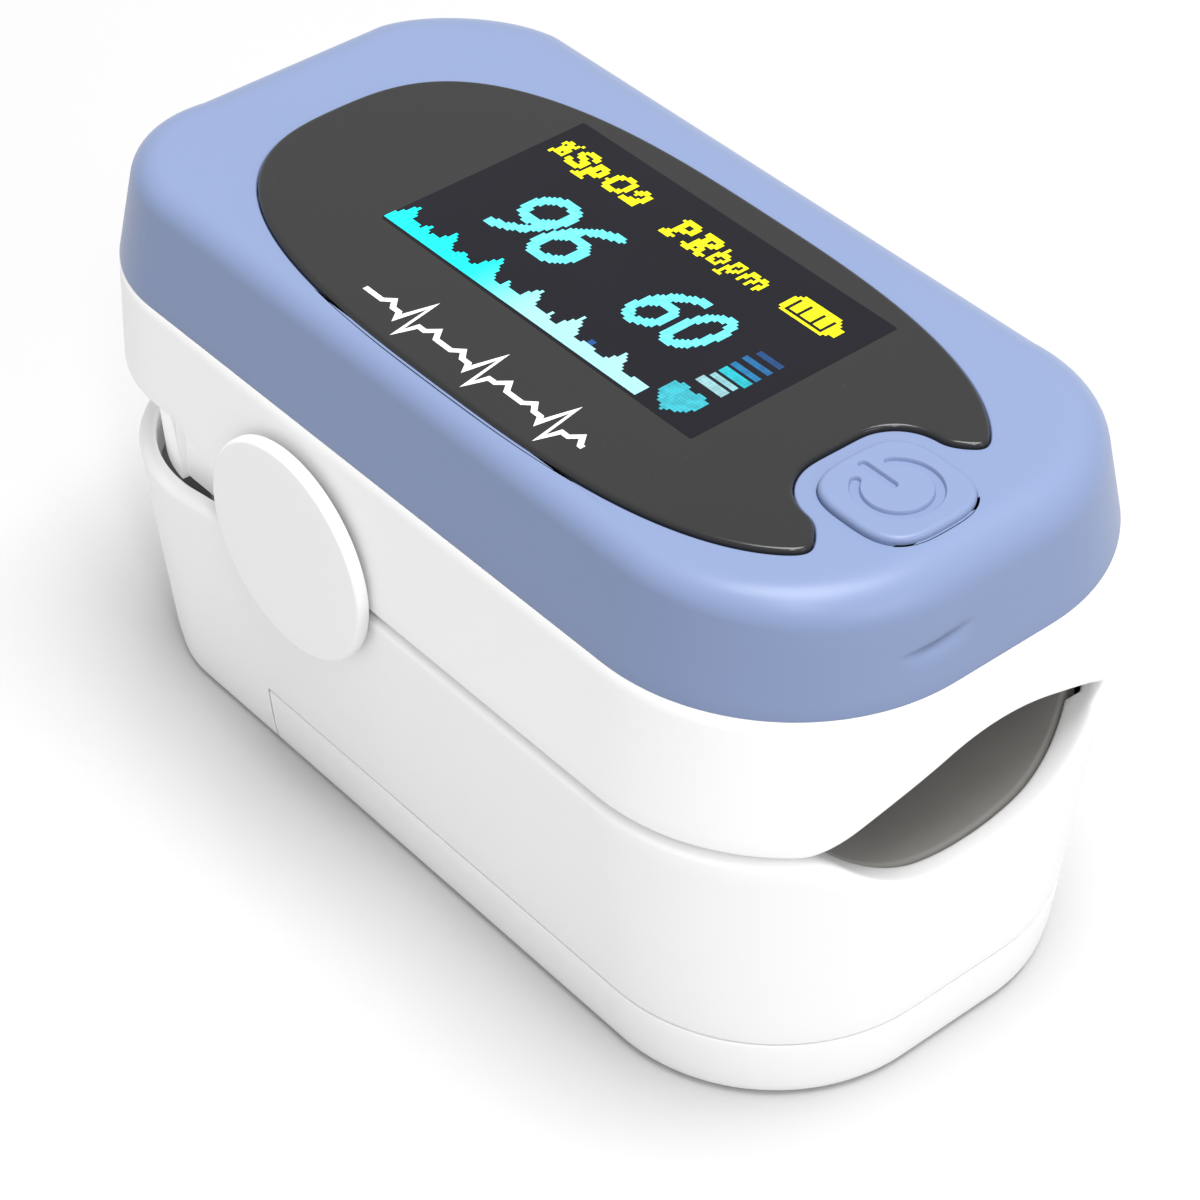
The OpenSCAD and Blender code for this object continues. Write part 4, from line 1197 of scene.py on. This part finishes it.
def ribbon_line(points, half):
    """Flat printed line of even width along points."""
    verts, faces = [], []
    for i, (x, y) in enumerate(points):
        x0, y0 = points[max(0, i - 1)]
        x1, y1 = points[min(len(points) - 1, i + 1)]
        d0 = Vector((x - x0, y - y0)) if i else Vector((x1 - x, y1 - y))
        d1 = Vector((x1 - x, y1 - y)) if i < len(points) - 1 else d0
        d0.normalize()
        d1.normalize()
        mitre = Vector((-(d0 + d1).y, (d0 + d1).x)).normalized()
        grow = half / max(0.4, mitre.dot(Vector((-d0.y, d0.x))))
        verts += [(x + mitre.x * grow, y + mitre.y * grow, LENS_TOP + PRINT),
                  (x - mitre.x * grow, y - mitre.y * grow, LENS_TOP + PRINT)]
        if i:
            k = len(verts)
            faces.append((k - 4, k - 3, k - 1, k - 2))
    return verts, faces


ink = moulded("white_print", (0.82, 0.82, 0.82), 0.5, 0.3, 0.05)
LINE_Y = -10.6
BEAT = [(0, 0), (0.45, 0.45), (0.9, 0), (1.4, 0), (1.7, -0.4), (2.15, 1.65), (2.65, -1.15),
        (3.0, 0), (3.5, 0), (3.95, 0.55), (4.4, 0)]
beat = [(-6.6, LINE_Y)]
for start in (-5.2, 0.4, 6.0):
    beat += [(start + dx, LINE_Y + dy) for dx, dy in BEAT]
beat.append((10.6, LINE_Y))
piece("printed_pulse_line", *ribbon_line(beat, 0.16), ink, "upper", "white_plastic",
      weighted=False)


# ---------- frame pieces that keep their shape ----------

KEPT = {
    "lower_frame": frame_white, "upper_frame": frame_white, "sensor_board": board_green,
    "main_board": board_green, "emitter_board": board_green, "photodiode": black_plastic,
    "board_parts": black_plastic, "switch_stem": black_plastic, "panel_gasket": foam,
    "sensor_window": clear, "emitter_window": clear, "battery_left": sleeve,
    "battery_right": sleeve, "spring_contact": steel, "plate_contact": steel,
    "bridge_contact": steel, "hinge_pins": steel, "torsion_springs": steel,
    "lower_screws": steel, "board_screws": steel, "frame_screws": steel, "tact_switch": steel,
    "emitter_pins": gold, "flex_ribbon": amber, "board_socket": cream, "emitter": cream,
    "panel_holder": cream, "oled_panel": window_black,
}
for node, material in KEPT.items():
    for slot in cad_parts[node].material_slots:
        slot.material = material


# ---------- floor, light and camera ----------

def studio():
    """Pale floor, even air and three soft lamps."""
    mesh = bpy.data.meshes.new("studio_floor")
    size, steps = 1.6, 8
    verts = [(-size + 2 * size * i / steps, -size + 2 * size * j / steps, -0.00002)
             for i in range(steps + 1) for j in range(steps + 1)]
    faces = [(i * (steps + 1) + j, (i + 1) * (steps + 1) + j, (i + 1) * (steps + 1) + j + 1,
              i * (steps + 1) + j + 1) for i in range(steps) for j in range(steps)]
    mesh.from_pydata(verts, [], faces)
    floor = bpy.data.objects.new("studio_floor", mesh)
    bpy.context.collection.objects.link(floor)
    finish = Finish("pale_floor", Specular_IOR_Level=0.1)
    tone = finish.noise(6, 3)
    finish.feed(Base_Color=finish.blend(tone, rgb(0.545, 0.545, 0.545), rgb(0.56, 0.56, 0.56)),
                Roughness=0.75 + tone * 0.1)
    mesh.materials.append(finish.material)

    world = bpy.data.worlds.new("studio_air")
    world.use_nodes = True
    world.node_tree.nodes["Background"].inputs["Color"].default_value = rgb(1.0, 1.0, 1.0)
    world.node_tree.nodes["Background"].inputs["Strength"].default_value = 0.6
    bpy.context.scene.world = world

    def lamp(name, azimuth, elevation, distance, width, height, power):
        data = bpy.data.lights.new(name, "AREA")
        data.shape = "RECTANGLE"
        data.size, data.size_y, data.energy = width, height, power
        lamp_object = bpy.data.objects.new(name, data)
        a, e = math.radians(azimuth), math.radians(elevation)
        away = Vector((math.sin(a) * math.cos(e), -math.cos(a) * math.cos(e), math.sin(e)))
        lamp_object.location = away * distance + Vector((0, 0, 0.015))
        lamp_object.rotation_euler = (-away).to_track_quat("-Z", "Y").to_euler()
        bpy.context.collection.objects.link(lamp_object)

    lamp("overhead_panel", 112, 82, 0.9, 0.5, 0.5, 9.9)
    lamp("front_fill", 95, 22, 0.8, 0.4, 0.3, 0.95)
    lamp("edge_softbox", 60, 52, 0.5, 0.04, 0.25, 0.5)


def camera():
    """Camera above the mouth end on the near side."""
    data = bpy.data.cameras.new("camera")
    data.sensor_width = 36
    data.lens = 107.06
    data.clip_start = 0.01
    seat = bpy.data.objects.new("camera", data)
    a, e = math.radians(49.75), math.radians(40.82)
    away = Vector((math.sin(a) * math.cos(e), -math.cos(a) * math.cos(e), math.sin(e)))
    target = Vector((2.58, -2.73, 15.0)) * MM
    seat.location = target + away * 192.64 * MM
    seat.rotation_euler = (-away).to_track_quat("-Z", "Y").to_euler()
    bpy.context.collection.objects.link(seat)
    bpy.context.scene.camera = seat


studio()
camera()
bpy.context.scene.view_settings.view_transform = "Standard"
